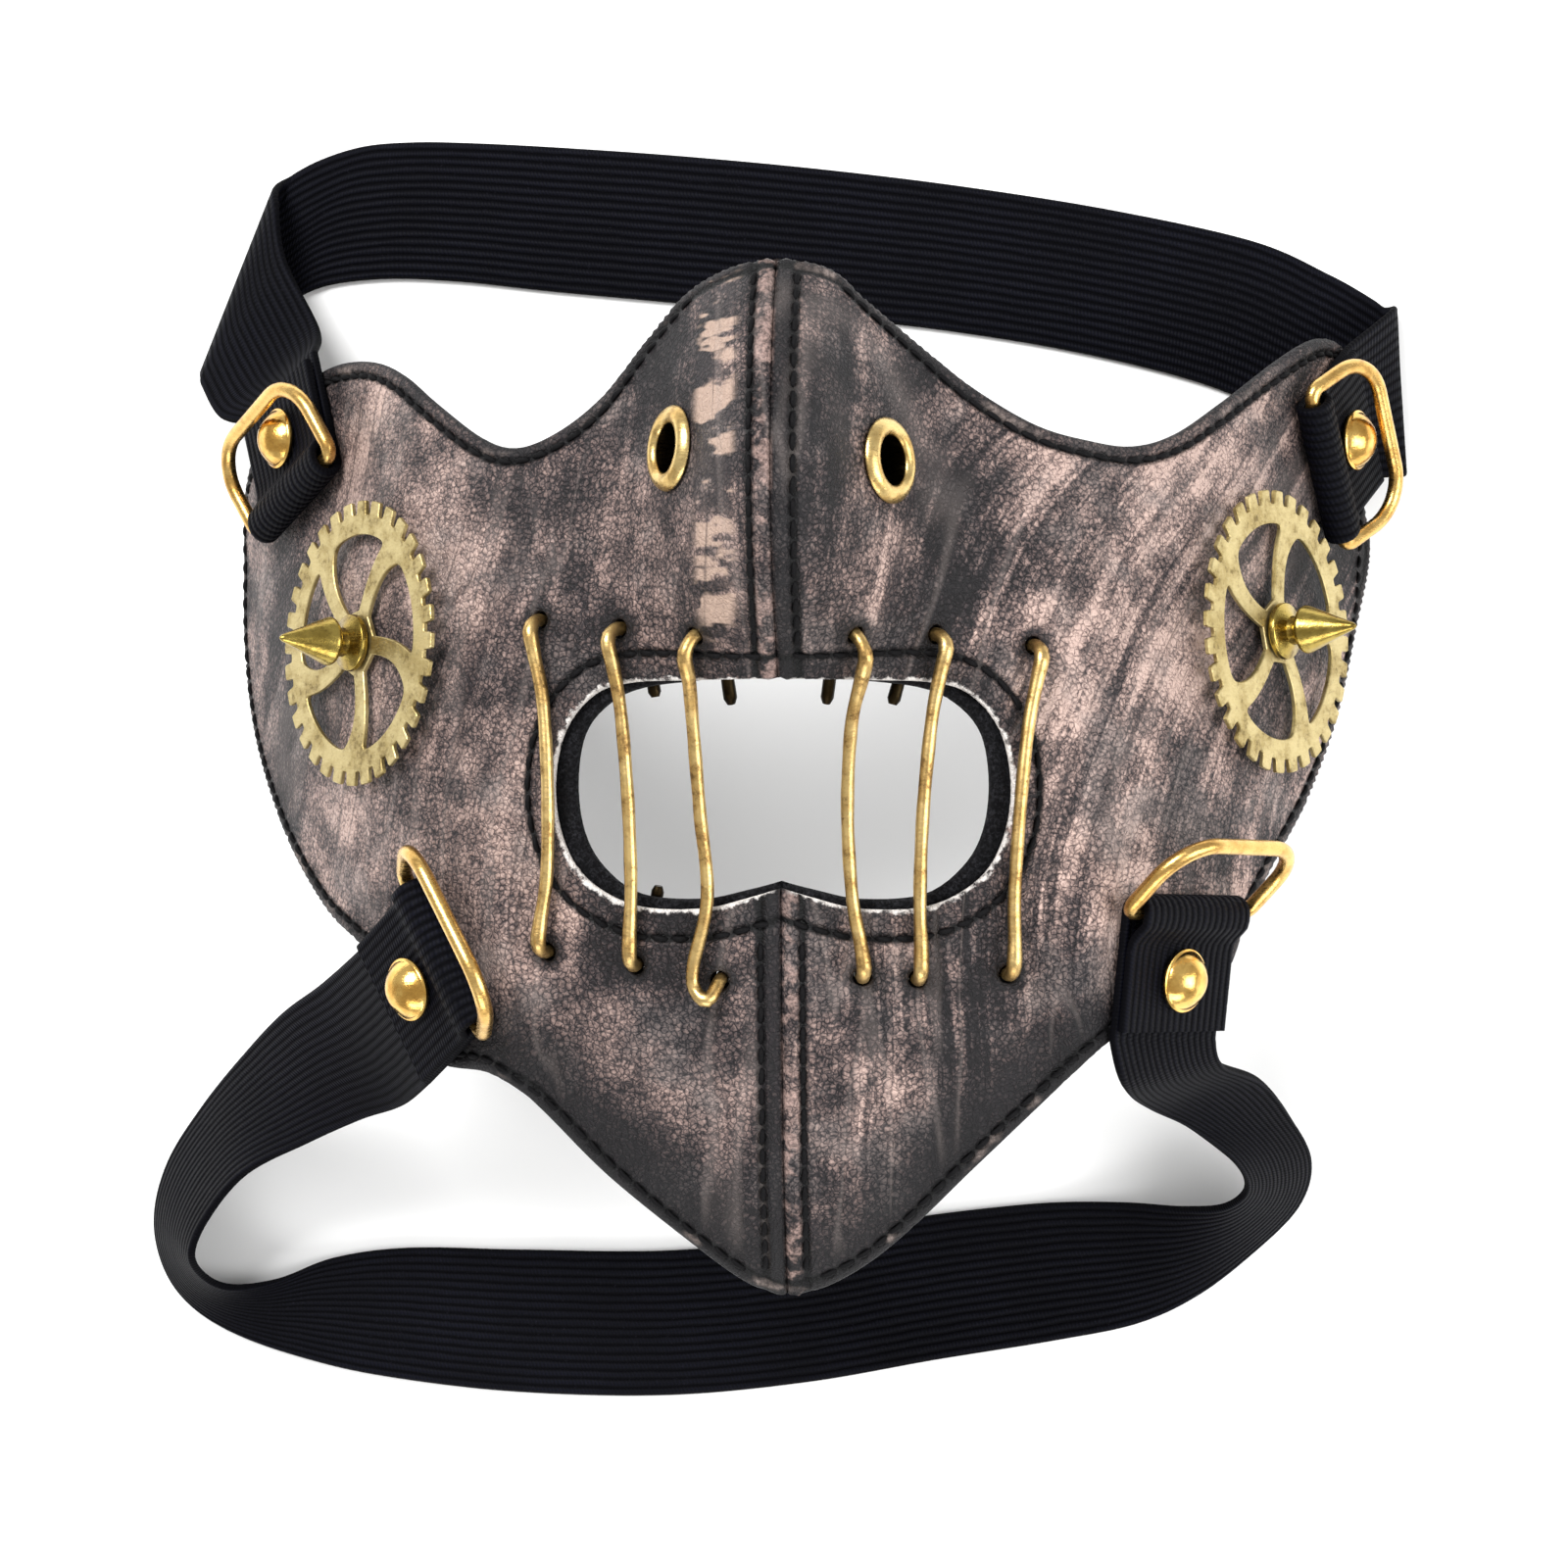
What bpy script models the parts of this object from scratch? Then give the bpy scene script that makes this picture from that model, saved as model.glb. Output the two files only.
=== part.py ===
"""Half-face costume mask: stiff leather shell, barred mouth opening, gear and spike ornaments, ring
tabs and two elastic head straps.  Dimensions are in millimetres and scaled to metres when meshes are
made.  The mask lies on its back: the face looks up (+Z), the nose end points to +Y."""
import math
import bpy
import bmesh
import numpy as np
from mathutils import Matrix, Vector
from mathutils.geometry import delaunay_2d_cdt

MM = 0.001

# overall placement of the mask frame in the world
BASE_SHIFT = (5.66, -2.73, 0.0)

# shell form: height of the cheek line and of the nose ridge above it, by height on the face
RIDGE_Y = (-82, -60, -40, -20, 0, 15, 30, 45, 60, 82)
CHEEK_Z = (56, 70, 77, 81, 83, 83, 82, 80, 77, 70)
RIDGE_Z = (6, 4, 2, 1, 2, 9, 24, 31, 30, 20)
RIDGE_WIDTH = 17.0
RIDGE_POWER = 2.2
WRAP_DEPTH = 76.8
WRAP_HALF = 95.0
WRAP_POWER = 2.8

PANEL_T = 1.4
LAYER_GAP = 0.6
LINING_T = 2.0
SEAM_GAP = 0.2
INNER_H = -(PANEL_T + LAYER_GAP + LINING_T)

WIRE_R = 1.0
WIRE_HOLE_R = 1.5
RING_WIRE_R = 1.2
RING_HALF_W = 14.3
RING_DEPTH = 15.0
ELASTIC_T = 1.3
ELASTIC_HALF_W = 12.4
BAR_FROM_RIVET = 10.3
BAR_H = 3.2
FLAP_END = 8.0
GEAR_R = 22.3
GEAR_TEETH = 32
GEAR_T = 0.8

# outlines in plan, from the nose top down the outer edge to the chin
LEFT_EDGE = ((-8, 75), (-14.5, 72), (-21, 65.5), (-27.5, 58), (-34.5, 53), (-41, 51), (-47, 53), (-55, 59),
             (-61, 64), (-67, 67), (-75, 67.5), (-82, 65), (-88, 61), (-93, 54.5), (-96, 47),
             (-96.5, 36), (-95.5, 21), (-92, 6.5), (-84.5, -8.5), (-76, -19.5), (-70, -24), (-65, -28),
             (-61.5, -34), (-57.5, -40.5), (-53.5, -43.5), (-46, -44), (-41, -46.5), (-36, -51), (-27, -60),
             (-15, -70), (-6, -76.5))
RIGHT_EDGE = ((8, 75), (13, 71), (21, 65), (29, 59), (38, 54), (46, 52), (53, 51.5), (60, 54),
              (68, 60), (77, 67.5), (85, 72.5), (90, 71.5), (92, 66), (92.5, 57), (94, 47), (95, 38),
              (92, 26), (88, 11), (82.5, -2), (76.5, -12), (72, -20), (69, -28), (66, -33.5), (61.5, -36.5),
              (54, -37.5), (48.5, -39.5), (41, -46.5), (29, -58), (20, -67), (13, -73), (6, -77))
TOP_Y = 76.6
CHIN_Y = -78.4

# mouth opening, left half, from the top of the opening to its bottom
MOUTH_HALF = ((12, 15), (22, 15), (28, 13.4), (32.6, 8), (34.3, 0), (33.2, -8), (29.5, -14.2),
              (22, -18.2), (12, -18.6), (5, -17))
MOUTH_TOP = 15.0
MOUTH_BOTTOM = -15.5
LINING_MOUTH_HALF = ((12, 14.2), (21.5, 14.1), (26.6, 12), (30.4, 7.4), (31.6, 0), (30.6, -7.4),
                     (27.4, -12.8), (21.5, -16.8), (12, -17.4), (5, -16))

# mouth wires: x at the top hole, at mid height and at the bottom hole, with the hole heights
WIRES = (
    ("1", (-36.5, 24.5), -34.3, (-35.6, -25.2), (1.5, 7.0), (-1.0, -7.0)),
    ("2", (-24.0, 23.0), -22.2, (-22.0, -27.0), (2.5, -10.5), (2.2, 11.0)),
    ("3", (-12.0, 21.5), -11.6, (-9.2, -29.2), (3.5, -12.0), (0.5, -7.0)),
    ("4", (11.5, 21.5), 9.8, (12.0, -28.6), (-3.8, -12.0), (-0.5, -7.0)),
    ("5", (23.0, 22.0), 20.7, (20.2, -29.0), (-4.0, -11.0), (1.0, -7.0)),
    ("6", (37.5, 20.6), 34.7, (33.6, -28.4), (-1.0, 7.0), (1.0, -7.0)),
)

# fittings: centre in plan, and for the pads also the fall of the shell in x and y
EYELETS = {"left": (-15.0, 48.6), "right": (15.8, 46.8)}
GEARS = {"left": (-66.5, 21.9), "right": (75.0, 23.9)}
CORNERS = {
    "upper_left": {"at": (-81.8, 56.4), "fall": (1.3, 0.0), "bar": (0.81, 0.59), "swing": 162.0},
    "upper_right": {"at": (87.5, 56.5), "fall": (-1.7, 0.1), "bar": (-0.274, 0.96), "swing": 162.0},
    "lower_left": {"at": (-55.4, -30.9), "fall": (0.97, 0.2), "bar": (-0.484, 0.875), "swing": 28.0},
    "lower_right": {"at": (57.5, -29.5), "fall": (-1.1, 0.15), "bar": (1.0, -0.05), "swing": 42.0},
}
EYELET_PAD = (7.5, 12.0)
CORNER_PAD = (16.0, 30.0)

# strap edges between the two ring tabs, as pairs of edge points (outer or lower edge, inner or upper)
UPPER_RUN = (
    ((-98.0, 61.5, 12.5), (-80.5, 76.0, 17.5)),
    ((-101.8, 67.0, 8.8), (-87.3, 88.5, 11.5)),
    ((-102.2, 68.4, 7.6), (-89.2, 98.5, 8.2)),
    ((-102.6, 69.5, 4.6), (-89.9, 101.6, 4.6)),
    ((-101.0, 71.0, 0.75), (-88.6, 103.8, 0.75)),
    ((-95.0, 76.5, 0.65), (-83.0, 106.8, 0.65)),
    ((-85.5, 84.0, 0.65), (-75.5, 109.0, 0.65)),
    ((-74.0, 86.2, 0.65), (-67.0, 109.6, 0.65)),
    ((-60.0, 85.8, 0.65), (-58.0, 109.4, 0.65)),
    ((-44.0, 84.0, 0.65), (-44.0, 108.6, 0.65)),
    ((-24.0, 82.0, 0.65), (-22.0, 106.9, 0.65)),
    ((0.0, 79.6, 0.65), (2.5, 104.4, 0.65)),
    ((24.0, 76.8, 0.65), (27.0, 101.2, 0.65)),
    ((47.0, 72.8, 0.65), (52.0, 97.0, 0.65)),
    ((67.0, 67.6, 0.65), (75.5, 91.6, 0.65)),
    ((80.5, 61.6, 0.65), (88.0, 86.0, 0.65)),
    ((92.0, 55.0, 0.65), (95.0, 82.0, 0.65)),
    ((97.6, 52.0, 1.4), (97.4, 80.2, 1.4)),
    ((100.2, 51.4, 4.6), (98.4, 79.6, 4.6)),
)
LOWER_RUN = (
    ((-76.0, -32.0, 39.5), (-62.0, -51.0, 46.0)),
    ((-84.5, -37.5, 28.5), (-70.0, -54.0, 37.5)),
    ((-93.0, -45.0, 16.5), (-80.0, -58.5, 31.0)),
    ((-102.0, -54.5, 6.0), (-91.0, -64.0, 26.0)),
    ((-109.0, -64.5, 1.4), (-98.0, -71.5, 22.0)),
    ((-111.5, -74.0, 0.8), (-101.0, -78.0, 21.0)),
    ((-110.0, -82.5, 0.7), (-100.0, -82.6, 15.0)),
    ((-105.5, -89.0, 0.65), (-96.5, -85.0, 9.0)),
    ((-97.5, -94.2, 0.65), (-90.0, -84.4, 3.6)),
    ((-86.0, -98.2, 0.65), (-81.0, -81.0, 0.9)),
    ((-72.0, -101.2, 0.65), (-68.0, -79.2, 0.65)),
    ((-50.0, -103.6, 0.65), (-48.0, -79.4, 0.65)),
    ((-24.0, -104.0, 0.65), (-24.0, -79.4, 0.65)),
    ((0.0, -101.6, 0.65), (-2.0, -77.2, 0.65)),
    ((22.0, -97.6, 0.65), (19.0, -73.4, 0.65)),
    ((42.0, -94.2, 0.65), (39.0, -71.0, 0.75)),
    ((56.0, -91.2, 0.65), (53.0, -70.4, 3.5)),
    ((66.0, -86.4, 0.7), (63.0, -70.4, 10.0)),
    ((75.0, -79.0, 1.6), (69.5, -69.2, 18.0)),
    ((82.5, -70.6, 5.0), (72.5, -65.6, 24.5)),
    ((84.0, -62.5, 12.0), (70.0, -60.6, 32.0)),
    ((80.0, -54.5, 21.5), (62.5, -54.6, 39.0)),
    ((74.5, -47.5, 33.0), (55.5, -50.5, 48.5)),
    ((67.0, -43.5, 49.0), (51.0, -45.8, 66.5)),
)


def hermite(xs, ys, x):
    xs = np.asarray(xs, float)
    ys = np.asarray(ys, float)
    slope = np.diff(ys) / np.diff(xs)
    tang = np.zeros_like(ys)
    tang[0] = slope[0]
    tang[-1] = slope[-1]
    tang[1:-1] = (slope[1:] * np.diff(xs)[:-1] + slope[:-1] * np.diff(xs)[1:]) / (xs[2:] - xs[:-2])
    inside = min(max(x, xs[0]), xs[-1])
    i = int(np.clip(np.searchsorted(xs, inside, side="right") - 1, 0, len(xs) - 2))
    h = xs[i + 1] - xs[i]
    t = (inside - xs[i]) / h
    return ((2 * t ** 3 - 3 * t ** 2 + 1) * ys[i] + (t ** 3 - 2 * t ** 2 + t) * h * tang[i]
            + (3 * t ** 2 - 2 * t ** 3) * ys[i + 1] + (t ** 3 - t ** 2) * h * tang[i + 1]
            + (x - inside) * (tang[0] if x < inside else tang[-1]))


def smooth(t):
    t = min(max(t, 0.0), 1.0)
    return t * t * (3 - 2 * t)


def free_height(x, y, power=RIDGE_POWER, width=RIDGE_WIDTH):
    s = abs(x)
    return (hermite(RIDGE_Y, CHEEK_Z, y) + hermite(RIDGE_Y, RIDGE_Z, y) * math.exp(-(s / width) ** power)
            - WRAP_DEPTH * (s / WRAP_HALF) ** WRAP_POWER)


def slopes(fn, x, y):
    e = 0.05
    return (fn(x + e, y) - fn(x - e, y)) / (2 * e), (fn(x, y + e) - fn(x, y - e)) / (2 * e)


def make_pads():
    pads = []
    for at in EYELETS.values():
        fall = slopes(free_height, *at)
        pads.append((at, free_height(*at), fall, EYELET_PAD))
    for corner in CORNERS.values():
        pads.append((corner["at"], free_height(*corner["at"]), corner["fall"], CORNER_PAD))
    return pads


PADS = make_pads()


def pad_blend(x, y, value, flat):
    for at, z0, fall, (r0, r1) in PADS:
        dx = x - at[0]
        dy = y - at[1]
        rise = fall[0] * dx + fall[1] * dy
        r = math.sqrt(dx * dx + dy * dy + rise * rise)
        if r < r1:
            k = smooth((r - r0) / (r1 - r0))
            value = flat(z0 + rise, fall) * (1 - k) + value * k
    return value


def height(x, y):
    return pad_blend(x, y, free_height(x, y), lambda z, fall: z)


def normal(x, y):
    fx, fy = slopes(lambda a, b: free_height(a, b, 3.0, 18.0), x, y)
    n = pad_blend(x, y, Vector((-fx, -fy, 1)).normalized(),
                  lambda z, fall: Vector((-fall[0], -fall[1], 1)).normalized())
    return n.normalized()


def skin(x, y, h):
    return Vector((x, y, height(x, y))) + normal(x, y) * h


def frame_at(x, y, along=None):
    """Local frame on the shell: X along `along` lifted onto the surface, Z the surface normal."""
    n = normal(x, y)
    fall = slopes(height, x, y)
    along = along or (0.0, 1.0)
    a = Vector((along[0], along[1], fall[0] * along[0] + fall[1] * along[1]))
    a = (a - n * a.dot(n)).normalized()
    return Matrix.Translation(Vector((x, y, height(x, y)))) @ Matrix(
        (a, n.cross(a), n)).transposed().to_4x4()


def corner_frame(name):
    """Frame of a ring tab: X points outward along the strap, Y along the ring bar, Z off the shell."""
    c = CORNERS[name]
    f = frame_at(c["at"][0], c["at"][1], c["bar"])
    bar = f.col[0].xyz
    n = f.col[2].xyz
    out = bar.cross(n)
    centre = Vector((0.0, 0.0, 0.0))
    if (f.translation - centre).dot(out) < 0:
        out = -out
    return Matrix.Translation(f.translation) @ Matrix((out, n.cross(out), n)).transposed().to_4x4()


# ---------------------------------------------------------------- scene, materials and mesh helpers

for old in list(bpy.data.objects):
    bpy.data.objects.remove(old)

MASK = bpy.data.collections.new("half_face_mask")
bpy.context.scene.collection.children.link(MASK)
BASE = bpy.data.objects.new("mask_base", None)
BASE.location = [v * MM for v in BASE_SHIFT]
MASK.objects.link(BASE)


def make_material(name, colour, roughness, metallic):
    mat = bpy.data.materials.new(name)
    mat.use_nodes = True
    shader = mat.node_tree.nodes["Principled BSDF"]
    shader.inputs["Base Color"].default_value = (*colour, 1.0)
    shader.inputs["Roughness"].default_value = roughness
    shader.inputs["Metallic"].default_value = metallic
    return mat


LEATHER = make_material("bronzed_leather", (0.12, 0.085, 0.08), 0.5, 0.2)
LINING = make_material("black_lining", (0.012, 0.012, 0.014), 0.85, 0.0)
BRASS = make_material("antique_brass", (0.42, 0.30, 0.12), 0.35, 1.0)
GEAR_METAL = make_material("pale_brass", (0.47, 0.40, 0.24), 0.45, 1.0)
GOLD = make_material("gold_brass", (0.60, 0.40, 0.14), 0.25, 1.0)
ELASTIC = make_material("black_elastic", (0.01, 0.011, 0.016), 0.8, 0.0)


def add_object(name, verts, faces, mat, frame=None, round_faces=True):
    mesh = bpy.data.meshes.new(name)
    mesh.from_pydata([Vector(v) * MM for v in verts], [], faces)
    bm = bmesh.new()
    bm.from_mesh(mesh)
    bmesh.ops.recalc_face_normals(bm, faces=bm.faces)
    if bm.calc_volume(signed=True) < 0:
        bmesh.ops.reverse_faces(bm, faces=bm.faces)
    bm.to_mesh(mesh)
    bm.free()
    mesh.materials.append(mat)
    if round_faces:
        mesh.shade_smooth()
    obj = bpy.data.objects.new(name, mesh)
    MASK.objects.link(obj)
    obj.parent = BASE
    if frame is not None:
        local = frame.copy()
        local.translation = local.translation * MM
        obj.matrix_local = local
    return obj


def lathe(name, profile, mat, frame, sides=16):
    """Body of revolution about local Z; the profile is a closed (radius, height) loop, or an open
    one that starts and ends on the axis."""
    verts = []
    rows = []
    for r, h in profile:
        if r < 1e-6:
            rows.append([len(verts)] * sides)
            verts.append((0.0, 0.0, h))
        else:
            rows.append(list(range(len(verts), len(verts) + sides)))
            for k in range(sides):
                a = 2 * math.pi * k / sides
                verts.append((r * math.cos(a), r * math.sin(a), h))
    on_axis = profile[0][0] < 1e-6 and profile[-1][0] < 1e-6
    count = len(rows) - 1 if on_axis else len(rows)
    faces = []
    for i in range(count):
        lower = rows[i]
        upper = rows[(i + 1) % len(rows)]
        for k in range(sides):
            m = (k + 1) % sides
            ring = []
            for v in (lower[k], lower[m], upper[m], upper[k]):
                if v not in ring:
                    ring.append(v)
            if len(ring) > 2:
                faces.append(ring)
    return add_object(name, verts, faces, mat, frame)


def tube(name, path, radius, mat, sides=8, closed=False, frame=None):
    pts = [Vector(p) for p in path]
    n = len(pts)
    verts = []
    up = None
    for i in range(n):
        if closed:
            t = (pts[(i + 1) % n] - pts[i - 1]).normalized()
        else:
            t = (pts[min(i + 1, n - 1)] - pts[max(i - 1, 0)]).normalized()
        if up is None:
            up = t.orthogonal()
        up = (up - t * up.dot(t)).normalized()
        side = t.cross(up)
        for k in range(sides):
            a = 2 * math.pi * k / sides
            verts.append(pts[i] + (up * math.cos(a) + side * math.sin(a)) * radius)
    faces = []
    for i in range(n if closed else n - 1):
        j = (i + 1) % n
        for k in range(sides):
            m = (k + 1) % sides
            faces.append((i * sides + k, i * sides + m, j * sides + m, j * sides + k))
    if not closed:
        faces.append(tuple(range(sides)))
        faces.append(tuple(range((n - 1) * sides, n * sides)))
    return add_object(name, verts, faces, mat, frame)


def catmull(points, step, closed=False):
    """Smooth polyline through the points with about `step` between samples."""
    pts = [Vector(p) for p in points]
    n = len(pts)
    out = []
    for i in range(n if closed else n - 1):
        p1 = pts[i]
        p2 = pts[(i + 1) % n]
        p0 = pts[i - 1] if (closed or i > 0) else p1 * 2 - p2
        p3 = pts[(i + 2) % n] if (closed or i < n - 2) else p2 * 2 - p1
        count = max(1, round((p2 - p1).length / step))
        for k in range(count):
            t = k / count
            out.append(0.5 * (2 * p1 + (p2 - p0) * t + (2 * p0 - 5 * p1 + 4 * p2 - p3) * t ** 2
                              + (3 * p1 - p0 - 3 * p2 + p3) * t ** 3))
    if not closed:
        out.append(pts[-1])
    return out


def inside(loop, x, y):
    hit = False
    n = len(loop)
    for i in range(n):
        x1, y1 = loop[i][0], loop[i][1]
        x2, y2 = loop[i - 1][0], loop[i - 1][1]
        if (y1 > y) != (y2 > y) and x < (x2 - x1) * (y - y1) / (y2 - y1) + x1:
            hit = not hit
    return hit


def hole_loop(x, y, radius, count):
    f = frame_at(x, y)
    a = f.col[0].xyz
    b = f.col[1].xyz
    out = []
    for k in range(count):
        t = 2 * math.pi * k / count
        p = a * (radius * math.cos(t)) + b * (radius * math.sin(t))
        out.append((x + p.x, y + p.y))
    return out


def plate(name, outline, holes, grid, place_top, place_bottom, mat, frame=None, clear=1.6):
    """Closed sheet: the 2D outline with its holes, filled with triangles, given two faces."""
    loops = [outline] + holes
    pts = []
    edges = []
    for loop in loops:
        start = len(pts)
        pts.extend(Vector((p[0], p[1])) for p in loop)
        edges.extend((start + i, start + (i + 1) % len(loop)) for i in range(len(loop)))
    border = np.array([(p.x, p.y) for p in pts])
    for g in grid:
        if not inside(outline, *g) or any(inside(h, *g) for h in holes):
            continue
        if np.min(np.hypot(border[:, 0] - g[0], border[:, 1] - g[1])) > clear:
            pts.append(Vector(g))
    verts2, _, tris = delaunay_2d_cdt(pts, edges, [], 0, 1e-6)[:3]
    keep = []
    for tri in tris:
        cx = sum(verts2[i].x for i in tri) / 3
        cy = sum(verts2[i].y for i in tri) / 3
        if inside(outline, cx, cy) and not any(inside(h, cx, cy) for h in holes):
            keep.append(list(tri))
    n = len(verts2)
    verts = [place_top(v.x, v.y) for v in verts2] + [place_bottom(v.x, v.y) for v in verts2]
    faces = [tuple(t) for t in keep] + [tuple(n + i for i in reversed(t)) for t in keep]
    seen = {}
    for t in keep:
        for i in range(3):
            seen[(t[i], t[(i + 1) % 3])] = True
    for a, b in list(seen):
        if (b, a) not in seen:
            faces.append((b, a, n + a, n + b))
    used = sorted({i for f in faces for i in f})
    index = {v: k for k, v in enumerate(used)}
    return add_object(name, [verts[i] for i in used], [tuple(index[i] for i in f) for f in faces],
                      mat, frame, round_faces=False)


# ------------------------------------------------------------------------------- leather and lining

def shell_grid(side, rows):
    s_values = [2.5, 5.0, 8.0, 11.0, 14.0, 17.5, 22.0, 28.0, 35.0, 42.0, 49.0, 56.0, 63.0, 69.0, 75.0,
                80.5, 86.0, 91.0]
    points = [(side * s, y) for s in s_values for y in rows]
    for corner in CORNERS.values():
        x0, y0 = corner["at"]
        if x0 * side > 0:
            points = [p for p in points if math.dist(p, (x0, y0)) > 14.0]
            points += [(x0 + 4.5 * i, y0 + 5.0 * j) for i in range(-3, 4) for j in range(-3, 4)]
    return points


def half_outline(side, edge, mouth, inset=0.0, mouth_top=MOUTH_TOP, mouth_bottom=MOUTH_BOTTOM):
    x0 = side * SEAM_GAP
    outer = catmull([(x0, TOP_Y, 0), *[(x, y, 0) for x, y in edge], (x0, CHIN_Y, 0)], 6.0)
    if inset:
        moved = [outer[0] + Vector((0, -inset, 0))]
        for i in range(1, len(outer) - 1):
            t = (outer[i + 1] - outer[i - 1]).normalized()
            moved.append(outer[i] + Vector((t.y, -t.x, 0)) * (inset * side))
        outer = moved + [outer[-1] + Vector((0, inset, 0))]
    gap = [(side * x, y, 0) for x, y in mouth]
    hole = catmull([(x0, mouth_top, 0), *gap, (x0, mouth_bottom, 0)], 4.0)
    top_seam = [(x0, y) for y in np.linspace(mouth_top, outer[0].y, 12)[1:-1]]
    low_seam = [(x0, y) for y in np.linspace(outer[-1].y, mouth_bottom, 12)[1:-1]]
    return [(p.x, p.y) for p in outer] + low_seam + [(p.x, p.y) for p in reversed(hole)] + top_seam


GRID_ROWS = [-74 + 8.0 * k for k in range(19)]


def shell_holes(side_name, side):
    holes = [hole_loop(*EYELETS[side_name], 4.65, 16), hole_loop(*GEARS[side_name], 1.9, 10)]
    for corner, data in CORNERS.items():
        if corner.endswith(side_name):
            holes.append(hole_loop(*data["at"], 1.9, 10))
    for wire in WIRES:
        if wire[1][0] * side > 0:
            holes.append(hole_loop(*wire[1], WIRE_HOLE_R, 8))
            holes.append(hole_loop(*wire[3], WIRE_HOLE_R, 8))
    return holes


for side_name, side, edge in (("left", -1, LEFT_EDGE), ("right", 1, RIGHT_EDGE)):
    holes = shell_holes(side_name, side)
    grid = shell_grid(side, GRID_ROWS)
    plate("panel_" + side_name, half_outline(side, edge, MOUTH_HALF), holes, grid,
          lambda x, y: skin(x, y, 0.0), lambda x, y: skin(x, y, -PANEL_T), LEATHER)
    plate("lining_" + side_name,
          half_outline(side, edge, LINING_MOUTH_HALF, 2.2, MOUTH_TOP - 0.8, MOUTH_BOTTOM + 0.8),
          holes, grid, lambda x, y: skin(x, y, -PANEL_T - LAYER_GAP),
          lambda x, y: skin(x, y, INNER_H), LINING)

TAPE_H = INNER_H - 0.95


def tape(name, y0, y1):
    rows = np.linspace(y0, y1, max(2, int(abs(y1 - y0) / 4) + 1))
    xs = (-6.0, -4.0, -2.0, 0.0, 2.0, 4.0, 6.0)
    verts = []
    for h in (TAPE_H, TAPE_H - 0.8):
        for y in rows:
            for x in xs:
                verts.append(skin(x, y, h))
    nx = len(xs)
    layer = nx * len(rows)
    faces = []
    for i in range(len(rows) - 1):
        for k in range(nx - 1):
            a = i * nx + k
            faces.append((a, a + 1, a + nx + 1, a + nx))
            faces.append((layer + a, layer + a + nx, layer + a + nx + 1, layer + a + 1))
    rim = ([k for k in range(nx)] + [i * nx + nx - 1 for i in range(1, len(rows))]
           + [layer - 1 - k for k in range(1, nx)] + [i * nx for i in range(len(rows) - 2, 0, -1)])
    for a, b in zip(rim, rim[1:] + rim[:1]):
        faces.append((a, b, layer + b, layer + a))
    return add_object(name, verts, faces, LINING)


tape("seam_tape_nose", 18.0, 71.0)
tape("seam_tape_chin", -19.0, -73.0)

# -------------------------------------------------------------------------------------- mouth wires

for number, top, mid_x, bottom, tail_top, tail_bottom in WIRES:
    back = INNER_H - 1.9
    path = []

    def tail(at, reach, lift):
        end = math.copysign(1.0, reach[1])
        return [(at[0] + reach[0], at[1] + reach[1], back), (at[0] + reach[0] * 0.5, at[1] + reach[1] * 0.5, back),
                (at[0] + reach[0] * 0.22, at[1] + 2.0 * end, back), (at[0], at[1] + 0.6 * end, back + 0.45),
                (at[0], at[1], back + 1.5), (at[0], at[1], -1.5), (at[0], at[1], 0.2),
                (at[0], at[1] - 0.55 * lift, 1.75), (at[0], at[1] - 2.0 * lift, 2.75)]

    path += tail(top, tail_top, 1.0)
    drop = (bottom[0] - top[0], bottom[1] - top[1])
    path.append((top[0] * 0.8 + mid_x * 0.2, top[1] - 5.5, 2.3))
    for k in (0.25, 0.5, 0.75):
        x = (1 - k) ** 2 * top[0] + 2 * k * (1 - k) * (2 * mid_x - 0.5 * top[0] - 0.5 * bottom[0]) + k * k * bottom[0]
        path.append((x, top[1] + drop[1] * k, 1.8))
    if number == "3":
        path.append((bottom[0] - 3.6, bottom[1] + 2.6, 1.7))
        path.append((bottom[0] - 3.4, bottom[1] - 1.0, 1.8))
        path.append((bottom[0] - 1.4, bottom[1] - 2.4, 2.5))
    else:
        path.append((bottom[0] * 0.8 + mid_x * 0.2, bottom[1] + 5.5, 2.3))
    low = list(reversed(tail(bottom, tail_bottom, -1.0)))
    if number == "3":
        low = low[2:]
    path += low
    smooth_path = catmull([Vector(p) for p in path], 3.0)
    tube("mouth_wire_" + number, [skin(*p) for p in smooth_path], WIRE_R, BRASS, 6)

# ------------------------------------------------------------------------------ eyelets and washers

for side_name, at in EYELETS.items():
    f = frame_at(*at)
    lathe("eyelet_" + side_name,
          [(3.65, 1.0), (4.2, 1.7), (5.0, 1.8), (5.8, 1.35), (6.3, 0.7), (6.2, 0.35), (4.35, 0.35),
           (4.35, INNER_H - 1.6), (5.7, INNER_H - 1.6), (5.7, INNER_H - 2.2), (4.0, INNER_H - 2.4),
           (3.65, INNER_H - 2.0)], BRASS, f)
    lathe("eyelet_washer_" + side_name,
          [(4.65, INNER_H - 0.4), (6.8, INNER_H - 0.4), (6.8, INNER_H - 1.3), (4.65, INNER_H - 1.3)],
          BRASS, f, 12)

# --------------------------------------------------------------------------------- gears and spikes

GEAR_H = 1.0
GEAR_PHASE = {"left": -0.45, "right": 0.0}


def gear_outline():
    out = []
    for k in range(GEAR_TEETH):
        for frac, r in ((-0.29, 1.0), (0.29, 1.0), (0.335, 0.905), (0.665, 0.905)):
            a = 2 * math.pi * (k + frac) / GEAR_TEETH
            out.append((GEAR_R * r * math.cos(a), GEAR_R * r * math.sin(a)))
    return out


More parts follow.
